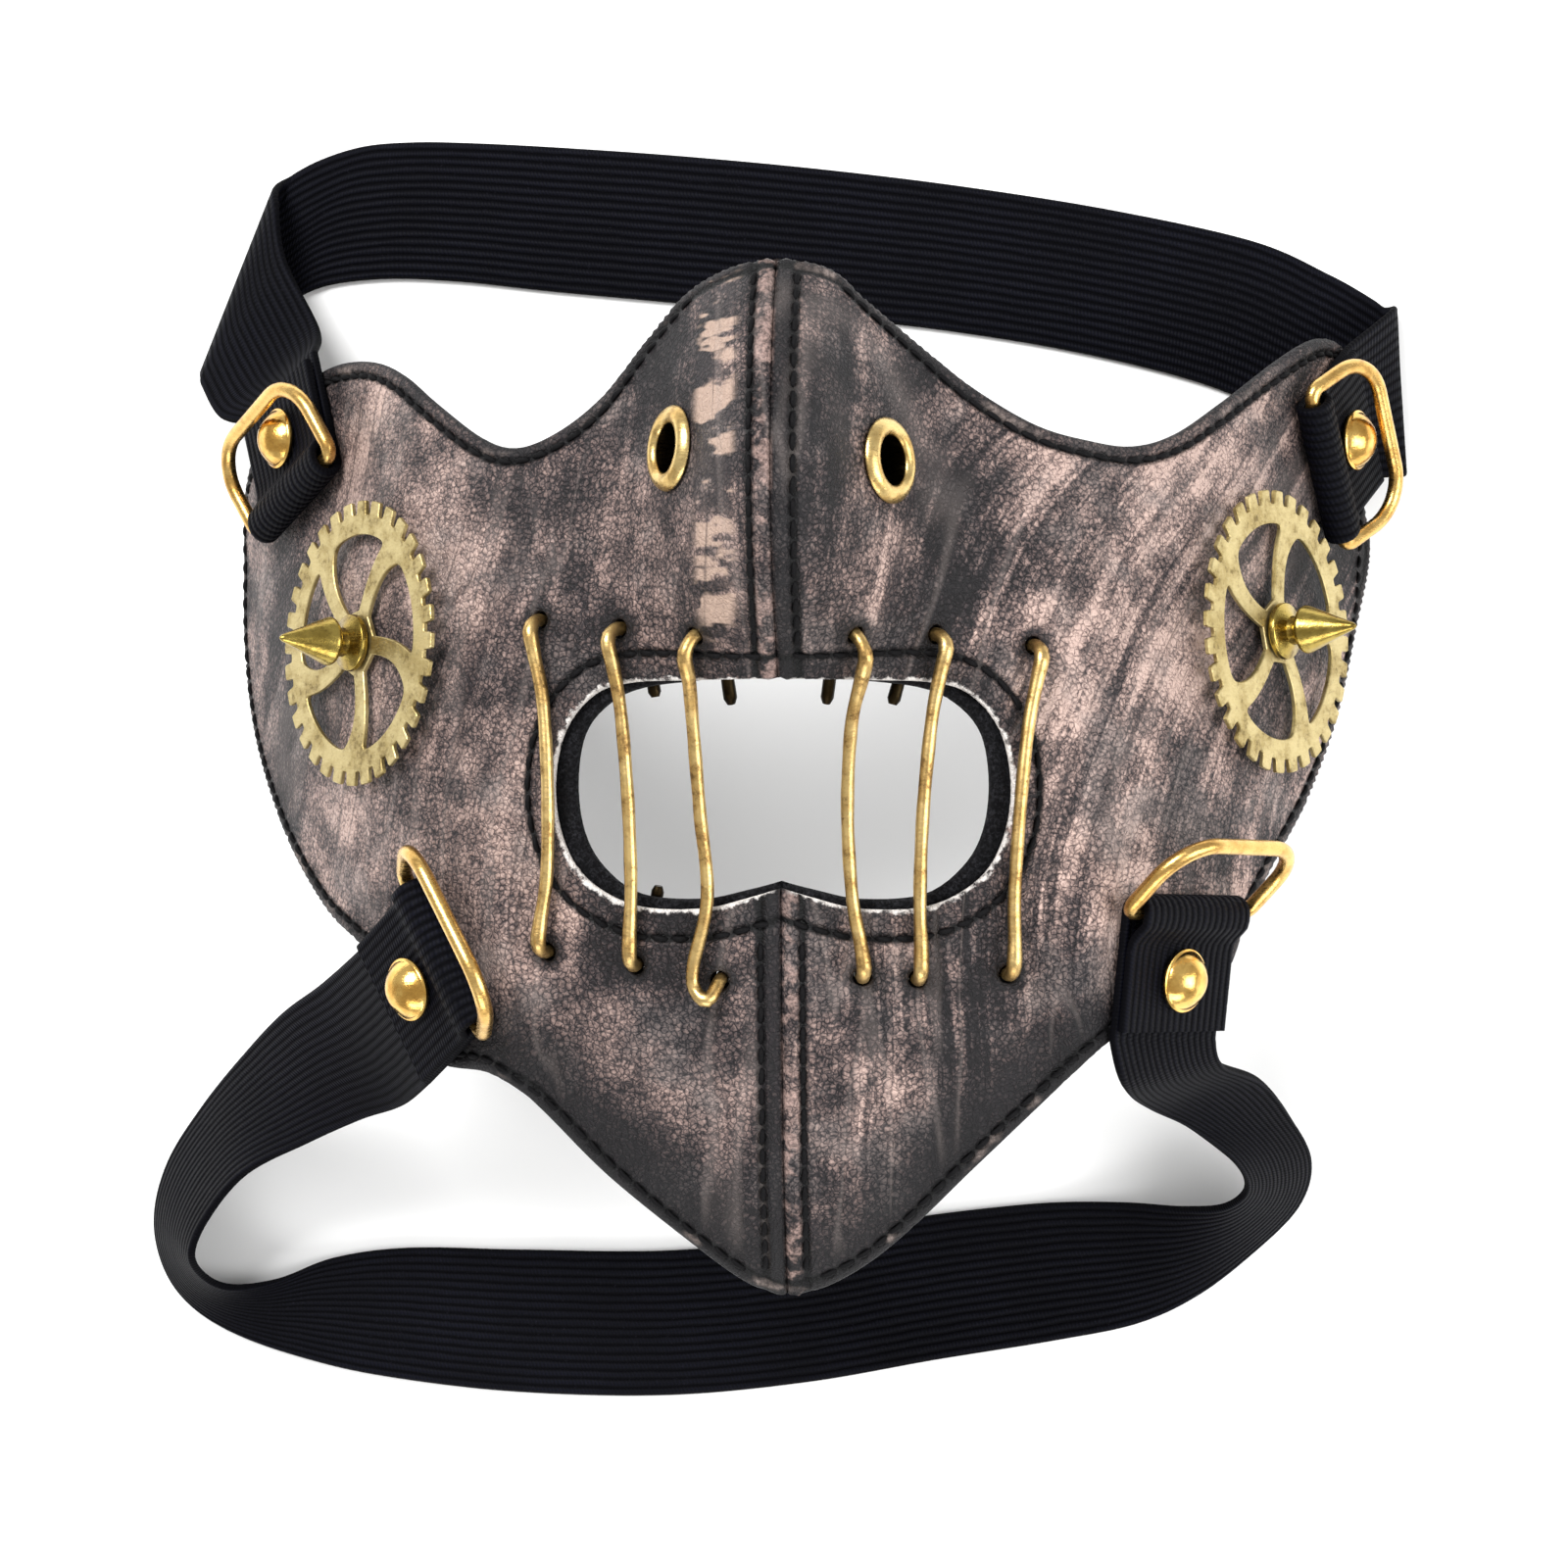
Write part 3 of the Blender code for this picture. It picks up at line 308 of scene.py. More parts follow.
class Look:
    """A node material; `mm` is the place in millimetres, and `colour` what was painted so far."""

    def __init__(self, name, slot=None, colour=None, **shader):
        self.mat = bpy.data.materials.new(name)
        self.mat.use_nodes = True
        self.tree = self.mat.node_tree
        self.shader = self.tree.nodes["Principled BSDF"]
        self.mm = self.vec("MULTIPLY", self.add("TexCoord", out="Object"), (1000.0, 1000.0, 1000.0))
        self.slot, self.colour = slot, colour
        self.set(**shader)

    def feed(self, socket, value):
        if isinstance(value, bpy.types.NodeSocket):
            self.tree.links.new(value, socket)
        else:
            socket.default_value = rgb(value) if isinstance(value, str) else value

    def add(self, kind, inputs=None, out=0, **props):
        node = self.tree.nodes.new("ShaderNode" + kind)
        for key, value in props.items():
            setattr(node, key, value)
        for key, value in (inputs or {}).items():
            self.feed(node.inputs[key], value)
        return node.outputs[out]

    def set(self, **inputs):
        for key, value in inputs.items():
            self.feed(self.shader.inputs[key.replace("_", " ")], value)

    def vec(self, op, a, b):
        return self.add("VectorMath", {0: a, 1: b}, operation=op)

    def math(self, op, a, b=0.0):
        return self.add("Math", {0: a, 1: b}, operation=op)

    def times(self, *values):
        return reduce(lambda a, b: self.math("MULTIPLY", a, b), values)

    def plus(self, *values):
        return reduce(lambda a, b: self.math("ADD", a, b), values)

    def less(self, value):
        return self.math("SUBTRACT", 1.0, value)

    def axis(self, vector, name):
        return self.add("SeparateXYZ", {0: vector}, out=name)

    def attr(self, name, out="Fac"):
        return self.add("Attribute", out=out, attribute_name=name)

    def noise(self, scale, detail=3.0, rough=0.55, twist=0.0, place=None):
        values = {"Vector": place or self.mm, "Scale": scale, "Detail": detail, "Roughness": rough}
        return self.add("TexNoise", {**values, "Distortion": twist})

    def streaks(self, place, squeeze, *noise):
        """Noise drawn out along the axes that are squeezed most."""
        return self.noise(1.0, *noise, place=self.vec("MULTIPLY", place, squeeze))

    def rise(self, value, low, high, to0=0.0, to1=1.0):
        return self.add("MapRange", {0: value, 1: low, 2: high, 3: to0, 4: to1},
                        interpolation_type="SMOOTHSTEP")

    def mix(self, share, a, b):
        return self.add("Mix", {0: share, 6: a, 7: b}, out=2, data_type="RGBA")

    def paint(self, share, tone):
        self.colour = self.mix(share, self.colour, tone)

    def line(self, value, at, width):
        """1 on a line of the distance `value`, falling to 0 beside it."""
        return self.rise(self.math("ABSOLUTE", self.math("SUBTRACT", value, at)), width, 0.0)

    def bump(self, tall, mm):
        return self.add("Bump", {"Height": tall, "Distance": mm * MM, "Strength": 1.0})


def leather_look():
    """Bronze rubbed over dark pebbled leather; its distances, folds and brush lines come with the mesh."""
    m = Look("bronzed_leather", "bronzed_leather")
    edge, mouth, seam, hole, fold = (m.attr(n) for n in ("edge", "mouth", "seam", "hole", "fold"))
    flow = m.attr("flow", "Vector")
    x, y = m.axis(m.mm, "X"), m.axis(m.mm, "Y")
    chin, right = m.rise(y, -24.0, -42.0), m.rise(x, -4.0, 26.0)
    aside = m.math("ABSOLUTE", m.math("SUBTRACT", x, float(SHIFT[0])))
    cheek = m.times(m.rise(aside, 22.0, 46.0), m.rise(aside, 66.0, 86.0, 1.0, 0.35),
                    m.less(m.times(chin, 0.8)))
    warp = m.add("TexNoise", {"Vector": m.mm, "Scale": 0.7, "Detail": 3.0}, out="Color")
    warp = m.vec("MULTIPLY", warp, (1.3, 1.3, 1.3))
    warp = m.vec("ADD", m.mm, warp)
    pebble = m.add("TexVoronoi", {"Vector": warp, "Scale": 1.15}, feature="DISTANCE_TO_EDGE")
    blotch = m.noise(0.05, 3.0, 0.5)
    patch = m.noise(0.17, 4.0, 0.6)
    speck = m.noise(1.35, 4.0, 0.7)
    broad = m.streaks(flow, (0.14, 0.013, 0.0), 3.0, 0.55, 0.7)
    fine = m.streaks(flow, (0.7, 0.026, 0.0), 3.0, 0.6, 0.35)
    hair = m.streaks(flow, (1.9, 0.035, 0.0), 2.0, 0.5)
    strength = m.plus(0.32, m.times(right, 0.6), m.times(chin, -0.2))
    strength = m.times(strength, m.rise(patch, 0.3, 0.6, 0.5, 1.15))
    pigment = m.plus(
        0.37, m.rise(blotch, 0.35, 0.65, -0.19, 0.22),
        m.times(m.rise(broad, 0.36, 0.64, -0.22, 0.26), strength),
        m.times(m.rise(fine, 0.4, 0.68, -0.1, 0.24), strength), m.rise(patch, 0.36, 0.66, -0.11, 0.12),
        m.times(m.rise(hair, 0.5, 0.72, -0.02, 0.16), strength), m.times(chin, 0.05),
        m.times(cheek, m.plus(0.27, m.times(right, -0.04))))
    border, lip = m.rise(edge, 3.4, 2.0), m.rise(mouth, 5.2, 3.8)
    sides = m.times(m.rise(edge, 19.0, 3.0), chin)
    # painted shade round the wire holes
    painted_hole_shade = m.rise(hole, 3.8, 1.4)
    # the seam strip is paler on the left of the nose and on the right of the chin
    left, top = m.rise(x, 6.2, 5.2), m.rise(y, -10.0, 10.0)
    pale = m.plus(m.less(m.plus(left, top)), m.times(left, top, 2.0))
    dabs = m.times(m.rise(seam, 3.0, 2.2), pale, m.rise(m.noise(0.28, 3.0, 0.6), 0.47, 0.58))
    strip = m.times(m.rise(seam, 4.4, 2.8), m.less(m.times(pale, 0.88)))

    # darker over the border, the seam strip, the mouth lip and towards the chin's sides, and painted shade
    # round the wire holes
    def darkened(most, *weights):
        areas = (border, strip, lip, sides, painted_hole_shade)
        return m.math("MINIMUM", m.plus(*(m.times(a, w) for a, w in zip(areas, weights))), most)

    pigment = m.times(pigment, m.less(darkened(0.95, 0.45, 0.6, 0.2, 0.75, 0.6)))
    shown = m.plus(pigment, m.rise(speck, 0.32, 0.68, -0.19, 0.2),
                   m.times(m.rise(pebble, 0.16, 0.02), -0.3))
    ramp = m.add("ValToRGB", {0: shown})
    stops = ramp.node.color_ramp.elements
    for place, tone in ((0.22, "282325"), (0.45, "504442"), (0.7, "84706a")):
        stops.new(place).color = rgb(tone)
    stops[0].color, stops[-1].color = rgb("110f11"), rgb("baa197")
    m.colour = ramp
    grey = m.rise(m.noise(0.08), 0.48, 0.68)
    m.paint(m.times(grey, 0.55), m.mix(shown, "201f22", "847b78"))
    # pale and dark hand-brushed bars beside the nose seam
    bars = m.streaks(m.mm, (0.06, 0.2, 0.05), 3.0, 0.6)
    beside = m.times(m.line(m.axis(flow, "Z"), -8.4, 4.4), m.rise(y, 14.0, 26.0))
    beside = m.rise(beside, 0.0, 0.5)
    m.paint(m.times(beside, m.rise(bars, 0.5, 0.55), 0.85),
            m.mix(speck, "967e72", "c8ae9c"))
    m.paint(m.times(beside, m.rise(bars, 0.5, 0.45), 0.7), "282426")
    # dark layer at the border, the seam strip, the mouth lip and towards the chin's sides, with painted shade
    # round the wire holes
    m.paint(darkened(0.85, 0.4, 0.4, 0.2, 0.6, 0.55), "131214")
    m.paint(m.times(dabs, m.rise(speck, 0.35, 0.6, 0.2, 0.6)), "b0948b")
    # stitch lines, the rubbed and the bare rim, and the raw edge of the mouth
    lines = m.plus(m.line(edge, EDGE_STITCH, 1.05), m.line(seam, SEAM_STITCH, 1.05),
                   m.line(mouth, MOUTH_STITCH, 1.1))
    m.paint(m.math("MINIMUM", m.times(lines, 1.25), 1.0), "040405")
    rub = m.times(m.line(edge, 1.5, 1.1), m.rise(m.noise(0.11, 3.0, 0.6), 0.54, 0.66))
    m.paint(m.times(rub, m.rise(speck, 0.35, 0.6, 0.25, 0.75)), "8a7c76")
    rim = m.rise(m.plus(edge, m.times(m.noise(0.7, 2.0), 0.6)), 0.95, 0.45)
    m.paint(m.times(rim, 0.85), "0c0c0f")
    raw = m.rise(m.plus(mouth, m.times(m.noise(0.5, 4.0, 0.7), 3.0)), 2.1, 1.5)
    m.paint(m.times(raw, m.rise(seam, 0.4, 2.0), 0.95), "dad5d1")
    # pale creases, dark cuts and the shade of the folds
    crease = m.line(m.streaks(flow, (0.075, 0.012, 0.0), 2.0, 0.4, 0.5), 0.5, 0.03)
    crease = m.times(crease, m.rise(edge, 3.0, 9.0))
    cut = m.line(m.streaks(flow, (0.11, 0.009, 0.0), 2.0, 0.5, 0.3), 0.57, 0.014)
    m.paint(m.times(crease, 0.14), "968a85")
    m.paint(m.times(cut, m.rise(blotch, 0.4, 0.55), 0.55), "221e21")
    m.paint(m.times(m.rise(fold, 0.1, 0.8), 0.38), "221f22")
    tall = m.plus(m.rise(pebble, 0.0, 0.22, 0.0, 0.3), m.times(speck, 0.4), m.times(broad, 0.7),
                  m.times(patch, 1.1), m.times(crease, -0.55), m.times(lines, -0.7))
    m.set(Base_Color=m.colour, Metallic=m.rise(shown, 0.3, 1.0, 0.0, 0.25), Normal=m.bump(tall, 0.36),
          Roughness=m.rise(shown, 0.0, 1.0, 0.6, 0.44), Specular_IOR_Level=0.24)
    return m


def fabric_look(name, dark, light, pitch):
    m = Look(name, "black_lining", Sheen_Weight=0.03, Sheen_Roughness=0.4, Specular_IOR_Level=0.12)
    fibre = m.noise(1.0 / pitch, 4.0, 0.75, 0.4)
    tuft = m.add("TexVoronoi", {"Vector": m.mm, "Scale": 0.55 / pitch})
    flock = m.noise(0.22 / pitch)
    share = m.times(m.rise(fibre, 0.42, 0.7), m.rise(flock, 0.3, 0.7, 0.35, 1.0))
    m.set(Base_Color=m.mix(share, dark, light), Roughness=m.rise(fibre, 0.3, 0.7, 0.98, 0.8),
          Normal=m.bump(m.plus(fibre, m.times(tuft, 0.6)), 0.28))
    return m


def elastic_look():
    """Ribs along the strap, and a fine twill."""
    m = Look("black_elastic", "black_elastic", "010104", Specular_IOR_Level=0.07)
    weave = m.attr("weave", "Vector")
    across, along = m.axis(weave, "X"), m.axis(weave, "Y")
    wobble = m.times(m.math("SUBTRACT", m.streaks(weave, (0.5, 0.12, 0.0), 2.0), 0.5), 0.5)
    rib = m.math("ABSOLUTE", m.math("SINE", m.times(m.plus(across, wobble), math.pi / RIB_PITCH)))
    twill = m.math("SINE", m.plus(m.times(along, 2 * math.pi / TWILL_PITCH), m.times(across, 2.2)))
    twill = m.plus(m.times(twill, 0.5), 0.5)
    lint = m.noise(1.9, 3.0, 0.7)
    worn = m.noise(0.06)
    # rib crests painted lighter than the valleys, so the valleys carry painted shade; the twill pattern and
    # worn patches vary it
    m.paint(m.times(m.rise(rib, 0.35, 1.0), m.rise(twill, 0.1, 1.0, 0.45, 1.0),
                    m.rise(worn, 0.3, 0.7, 0.45, 1.0)), "0a0b15")
    m.paint(m.times(m.rise(lint, 0.6, 0.8), 0.3), "2e2c38")
    tall = m.plus(rib, m.times(twill, 0.22), m.times(lint, 0.2))
    m.set(Base_Color=m.colour, Roughness=m.rise(rib, 0.0, 1.0, 0.85, 0.6), Normal=m.bump(tall, 0.26))
    return m


def thread_look():
    m = Look("black_thread", Roughness=0.7, Specular_IOR_Level=0.12)
    twist = m.noise(2.6, 2.0, 0.6)
    m.set(Base_Color=m.mix(twist, "020203", "100f11"), Normal=m.bump(twist, 0.12))
    return m


def metal_look(name, slot, bright, tint, patina, rough, stain, grain=0.05):
    """Aged metal: bright faces, a second tint in soft patches, brown tarnish in spots, and painted shade,
    near black, where a part runs into the mask.
    """
    m = Look(name, slot, bright, Metallic=1.0)
    cloud = m.noise(0.22, 4.0, 0.6)
    spot = m.noise(0.85, 4.0, 0.72)
    pit = m.noise(3.2, 2.0, 0.6)
    scratch = m.streaks(m.mm, (0.5, 3.0, 1.4), 3.0, 0.6)
    m.paint(m.rise(cloud, 0.38, 0.64), tint)
    tarnish = m.times(m.rise(m.plus(m.times(spot, 0.6), m.times(cloud, 0.4)), 0.5, 0.66), stain)
    m.paint(tarnish, patina)
    m.paint(m.times(m.rise(pit, 0.6, 0.75), 0.35 * stain + 0.1), patina)
    # painted shade: near black where a part runs into the mask
    m.paint(m.times(m.attr("painted_shade"), 0.97), "090706")
    roughness = m.plus(m.rise(scratch, 0.3, 0.7, rough * 0.8, rough * 1.25), m.times(tarnish, 0.22))
    m.set(Base_Color=m.colour, Roughness=roughness,
          Normal=m.bump(m.plus(m.times(spot, 0.6), m.times(scratch, 0.4), m.times(pit, 0.4)), grain))
    return m


LEATHER = leather_look()
LINING = fabric_look("black_lining", "070709", "2a2a2e", 0.55)
TAPE = fabric_look("black_tape", "0a0a0c", "222226", 0.35)
ELASTIC = elastic_look()
THREAD = thread_look()
WIRE = metal_look("antique_brass", BRASS, "d0b276", "b6945a", "543c24", 0.36, 0.8)
RING = metal_look("ring_brass", BRASS, "deb870", "c69c56", "704e28", 0.27, 0.45)
EYELET = metal_look("eyelet_brass", BRASS, "d8bc7e", "c4a262", "6c502c", 0.3, 0.5)
SPIKE = metal_look("spike_brass", BRASS, "ac964e", "8e7838", "3e3018", 0.22, 0.55)
GEAR = metal_look("pale_brass", "pale_brass", "beae7e", "a69462", "5c4a2a", 0.46, 0.6, 0.09)
GOLD = metal_look("gold_brass", "gold_brass", "e8c06e", "ce9e4e", "805624", 0.18, 0.4)

# --- mesh making


def put(name, data):
    obj = bpy.data.objects.new(name, data)
    bpy.context.scene.collection.objects.link(obj)
    return obj


def make(name, points, faces, look, body="mask", local=None, values=None, crease=None, slot=None):
    """A piece from points in millimetres.  It stands for the CAD node of its name, which it hides, or, where
    a slot is given, for none and keeps the bare name."""
    pts = np.asarray(points, float)
    if local is not None:
        m = np.array(local)
        pts = pts @ m[:3, :3].T + m[:3, 3]
    label = name if slot else name + "_piece"
    mesh = bpy.data.meshes.new(label)
    mesh.from_pydata(((pts + SHIFT) * MM).tolist(), [], faces)
    bm = bmesh.new()
    bm.from_mesh(mesh)
    bmesh.ops.recalc_face_normals(bm, faces=bm.faces)
    if bm.calc_volume(signed=True) < 0:
        bmesh.ops.reverse_faces(bm, faces=bm.faces)
    bm.to_mesh(mesh)
    bm.free()
    mesh.shade_smooth()
    if crease:
        mesh.set_sharp_from_angle(angle=math.radians(crease))
    mesh.materials.append(look.mat)
    for key, value in (values or {}).items():
        value = np.asarray(value, np.float32)
        kind, field = ("FLOAT_VECTOR", "vector") if value.ndim == 2 else ("FLOAT", "value")
        mesh.attributes.new(key, kind, "POINT").data.foreach_set(field, value.ravel())
    obj = put(label, mesh)
    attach(obj, body)
    if not slot:
        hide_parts(name)
    return obj


def lathe(name, profile, look, local, sides, crease=38, painted_shade=None):
    """Body of revolution about local Z, from a profile that closes, or starts and ends on the axis."""
    verts, rows, faces = [], [], []
    for r, h in profile:
        count = sides if r else 1
        rows.append([len(verts) + k % count for k in range(sides)])
        verts += [(*polar(r, 2 * math.pi * k / sides), h) for k in range(count)]
    if profile[0][0]:
        rows.append(rows[0])
    for low, high in zip(rows, rows[1:]):
        for k in range(sides):
            m = (k + 1) % sides
            ring = list(dict.fromkeys((low[k], low[m], high[m], high[k])))
            if len(ring) > 2:
                faces.append(ring)
    values = {"painted_shade": [float(painted_shade(*v)) for v in verts]} if painted_shade else None
    make(name, verts, faces, look, "mask", local, values, crease)


def ring_faces(rings, sides, closed=False, first=0):
    """Quads between successive rings of points, and end caps unless the rings close."""
    faces = []
    for i in range(rings if closed else rings - 1):
        low, high = first + i * sides, first + (i + 1) % rings * sides
        faces += [(low + k, low + (k + 1) % sides, high + (k + 1) % sides, high + k) for k in range(sides)]
    last = first + rings * sides
    return faces if closed else faces + [range(first, first + sides), range(last - 1, last - sides - 1, -1)]


def tube(name, path, radius, look, sides=14, closed=False, local=None, body="mask", painted_shade=None):
    pts = np.asarray(path, float)
    n = len(pts)
    radius = np.broadcast_to(radius, n)
    verts, up = [], None
    for i in range(n):
        ahead = pts[(i + 1) % n] if closed else pts[min(i + 1, n - 1)]
        behind = pts[i - 1] if closed else pts[max(i - 1, 0)]
        t = unit(ahead - behind)
        if up is None:
            up = np.array(Vector(t).orthogonal())
        up = unit(up - t * up.dot(t))
        across = np.cross(t, up)
        for k in range(sides):
            a = 2 * math.pi * k / sides
            verts.append(pts[i] + (up * math.cos(a) + across * math.sin(a)) * radius[i])
    values = None if painted_shade is None else {"painted_shade": np.repeat(painted_shade, sides)}
    make(name, verts, ring_faces(n, sides, closed), look, body, local, values, 50)


def fill(outline, holes, extra=(), clear=0.5):
    """Triangles over a plan outline with holes, using the extra points that are well inside."""
    def within(pts):
        keep = inside(outline, pts)
        for loop in holes:
            keep &= ~inside(loop, pts)
        return keep

    edges, start = [], 0
    for loop in [outline] + holes:
        edges += [(start + i, start + (i + 1) % len(loop)) for i in range(len(loop))]
        start += len(loop)
    border = np.vstack([outline] + holes)
    extra = np.asarray(extra, float).reshape(-1, 2)
    extra = extra[within(extra)]
    extra = extra[nearest(extra, border) > clear]
    pts = [Vector(p) for p in np.vstack([border, extra])]
    verts, _, tris = delaunay_2d_cdt(pts, edges, [], 0, 1e-6)[:3]
    verts, tris = np.array([tuple(v) for v in verts]), np.array([tuple(t) for t in tris])
    used, tris = np.unique(tris[within(verts[tris].mean(1))], return_inverse=True)
    return verts[used], tris.reshape(-1, 3)


def both_layers(count, tris):
    """Triangles of a top layer, and of the one under it."""
    return [tuple(int(i) for i in t) for t in tris] + [tuple(int(count + i) for i in t[::-1]) for t in tris]


def close_sheet(count, tris):
    """Faces of a closed sheet whose bottom points follow its top points in the same order."""
    seen = {(int(t[i]), int(t[(i + 1) % 3])) for t in tris for i in range(3)}
    rim = [(b, a, count + a, count + b) for a, b in sorted(seen) if (b, a) not in seen]
    return both_layers(count, tris) + rim


# --- leather and lining


def pulled(line, sign, d):
    """The plan line moved d mm sideways, measured along the shell."""
    t = unit(np.gradient(on_shell(line), axis=0))
    return line + np.cross(normal(line[:, 0], line[:, 1]), t)[:, :2] * (sign * d)


def half_lines(side, edge, mouth, inset, trim, step):
    """Plan lines of one half: its border, drawn in by `inset`, and its mouth edge."""
    x0 = side * SEAM_GAP
    outer = catmull([(x0, TOP_Y), *edge, (x0, CHIN_Y)], step)
    t = unit(outer[2:] - outer[:-2])
    moved = outer[1:-1] + np.stack((t[:, 1], -t[:, 0]), -1) * (inset * side)
    outer = np.vstack([outer[:1] - (0, inset), moved, outer[-1:] + (0, inset)])
    ends = (x0, MOUTH_TOP - trim), (x0, MOUTH_BOTTOM + trim)
    return outer, catmull([ends[0], *[(side * x, y) for x, y in mouth], ends[1]], step)


# soft folds pressed into the leather: plan points, depth and half width
FOLDS = (
    (((-33, 49), (-41, 36), (-47, 18), (-51, 0), (-52, -14)), 0.5, 1.3),
    (((-36, 47), (-44, 41), (-54, 33), (-60, 24)), 0.3, 1.2),
    (((-13, 40), (-18, 33), (-20, 27)), 0.28, 1.0),
    (((-45, 6), (-50, -12), (-49, -28), (-43, -40)), 0.3, 1.5),
    (((-24, -34), (-21, -46), (-16, -58)), 0.35, 1.2),
    (((52, 48), (46, 30), (37, 14), (34, 2)), 0.32, 1.2),
    (((60, 46), (53, 28), (46, 10), (40, -10)), 0.26, 1.4),
    (((27, 44), (31, 33), (30, 25)), 0.25, 1.1),
    (((44, -30), (34, -44), (24, -58)), 0.35, 1.3),
    (((18, 62), (25, 48), (24, 36)), 0.22, 1.4),
)


def fold_depth(x, y):
    """How deep the folds are, as a share of the deepest one's 0.5."""
    plan, total = np.stack((x, y), -1), np.zeros(len(x))
    for points, depth, width in FOLDS:
        line = catmull(points, 0.7)
        fade = np.sin(np.linspace(0.12, math.pi - 0.05, len(line))) ** 0.6
        for i in range(0, len(plan), BATCH):
            d = np.linalg.norm(plan[i:i + BATCH, None] - line, axis=-1)
            k = d.argmin(1)
            total[i:i + BATCH] += depth * fade[k] * hump(d.min(1), 0.0, width)
    return total / 0.5


def rounding(d, r):
    return r - np.sqrt(np.maximum(r * r - (r - np.minimum(d, r)) ** 2, 0.0))


def leather_relief(edge, mouth, seam, x, y):
    """Rounded cut edges, the turned centre seam, the pull of the stitching and a soft swell."""
    waves = np.sin(x * 0.21 + 0.7 * np.sin(y * 0.13)) * np.sin(y * 0.17 + 1.3)
    swell = 0.12 * waves * smooth(edge / 12) - 0.42 * fold_depth(x, y)
    return (-rounding(edge, 0.7) - rounding(mouth, 0.5) - rounding(seam, 0.8) * 0.9
            + 0.28 * hump(seam, 1.6, 0.9) + 0.12 * hump(edge, 1.3, 0.5) - 0.24 * hump(seam, SEAM_STITCH, 0.42)
            - 0.24 * hump(edge, EDGE_STITCH, 0.45) - 0.22 * hump(mouth, MOUTH_STITCH, 0.45)
            + swell * smooth((seam - 4) / 6) * smooth((mouth - 5) / 6))


def lining_relief(edge, mouth, seam, x, y):
    soft = 0.025 * np.sin(x * 0.9 + np.sin(y * 0.7)) * np.sin(y * 0.8)
    return soft - rounding(edge, 0.9) - rounding(mouth, 0.95) - rounding(seam, 0.6)


def brushing(x, y):
    """Place across and along the brush, which runs down the nose and bends towards the mouth."""
    lean = np.where(x > 0, 0.5 * smooth(x / 50.0), 0.32 * smooth(-x / 50.0))
    reach = np.where(y > 10, y - 10, -24 * np.tanh((10 - y) / 24))
    bend = 0.0012 * x * np.minimum((y - 10) ** 2, 2500) / 40.0
    return np.stack((x - lean * reach - bend + 0.8 * np.sin(y * 0.09 + x * 0.1), y, x), -1)


def shell_piece(kind, half, mouth, inset, trim, h_top, thick, bore, relief, under, pull, edge_rows,
                mouth_rows, seam_rows, spacing, look):
    """One half of the leather or of the lining, as a closed sheet.  Rows of points follow the border, the
    mouth and the seam, and an even grid fills the rest."""
    side, edge = HALVES[half]
    outer, gap = half_lines(side, edge, mouth, inset, trim, STEP)
    up = np.arange(gap[0][1] + STEP, outer[0][1] - 0.6, STEP)
    low = np.arange(outer[-1][1] + STEP, gap[-1][1] - 0.6, STEP)
    x0 = side * SEAM_GAP
    outline = np.vstack([outer, [(x0, y) for y in low], gap[::-1], [(x0, y) for y in up]])
    spots = [hole for w in WIRES if w[0][0] * side > 0 for hole in (w[0], w[2])]
    holes = [hole_loop(*EYELETS[half], EYELET_HOLE_R, 40),
             hole_loop(*GEARS[half], RIVET_HOLE_R, 16)]
    holes += [hole_loop(*c["at"], RIVET_HOLE_R, 16) for n, c in CORNERS.items() if n.endswith(half)]
    holes += [hole_loop(*spot, bore, 18) for spot in spots]
    extra = [pulled(outer, -side, d)[2:-2] for d in edge_rows]
    extra += [pulled(gap, side, d)[2:-2] for d in mouth_rows]
    ys = np.arange(-78, 77, STEP)
    extra += [np.stack((np.full(len(ys), side * (SEAM_GAP + d)), ys), -1) for d in seam_rows]
    extra += [hole_loop(*spot, WIRE_HOLE_R + 0.7, 14) for spot in spots]
    extra = np.vstack(extra)
    # the grid is closer over the steep cheeks, and stays clear of the rows
    xs = np.concatenate([np.arange(spacing * 0.5 + 0.5, 62, spacing), np.arange(62.5, 99, spacing * 0.62)])
    grid = np.stack(np.meshgrid(xs * side, np.arange(-78, 77, spacing)), -1)
    grid[1::2, :, 0] += side * spacing * 0.25
    grid = grid.reshape(-1, 2)
    far = max(edge_rows + mouth_rows) + 0.6
    grid = grid[(nearest(on_shell(grid), on_shell(outer)) > far) & (nearest(grid, extra) > 0.55)]
    plan, tris = fill(outline, holes, np.vstack([extra, grid]), 0.14)
    x, y = plan.T
    mid = on_shell(plan)
    d_edge, d_gap, d_seam = nearest(mid, on_shell(outer)), nearest(mid, on_shell(gap)), np.abs(x) - SEAM_GAP
    lift = rounding(d_edge, under) + rounding(d_gap, under) + rounding(d_seam, under * 0.6)
    lift = lift + pull * (hump(d_edge, 3.2, 0.8) + hump(d_gap, 3.4, 0.8))
    tops = on_shell(plan, h_top + relief(d_edge, d_gap, d_seam, x, y))
    points = np.vstack([tops, on_shell(plan, h_top - thick + lift)])
    values = None
    if look is LEATHER:
        values = {"edge": d_edge, "mouth": d_gap, "seam": d_seam, "hole": nearest(plan, np.array(spots)),
                  "fold": fold_depth(x, y), "flow": brushing(x, y)}
        values = {k: np.concatenate([v, v]) for k, v in values.items()}
    return make(kind + "_" + half, points, close_sheet(len(plan), tris), look, values=values)


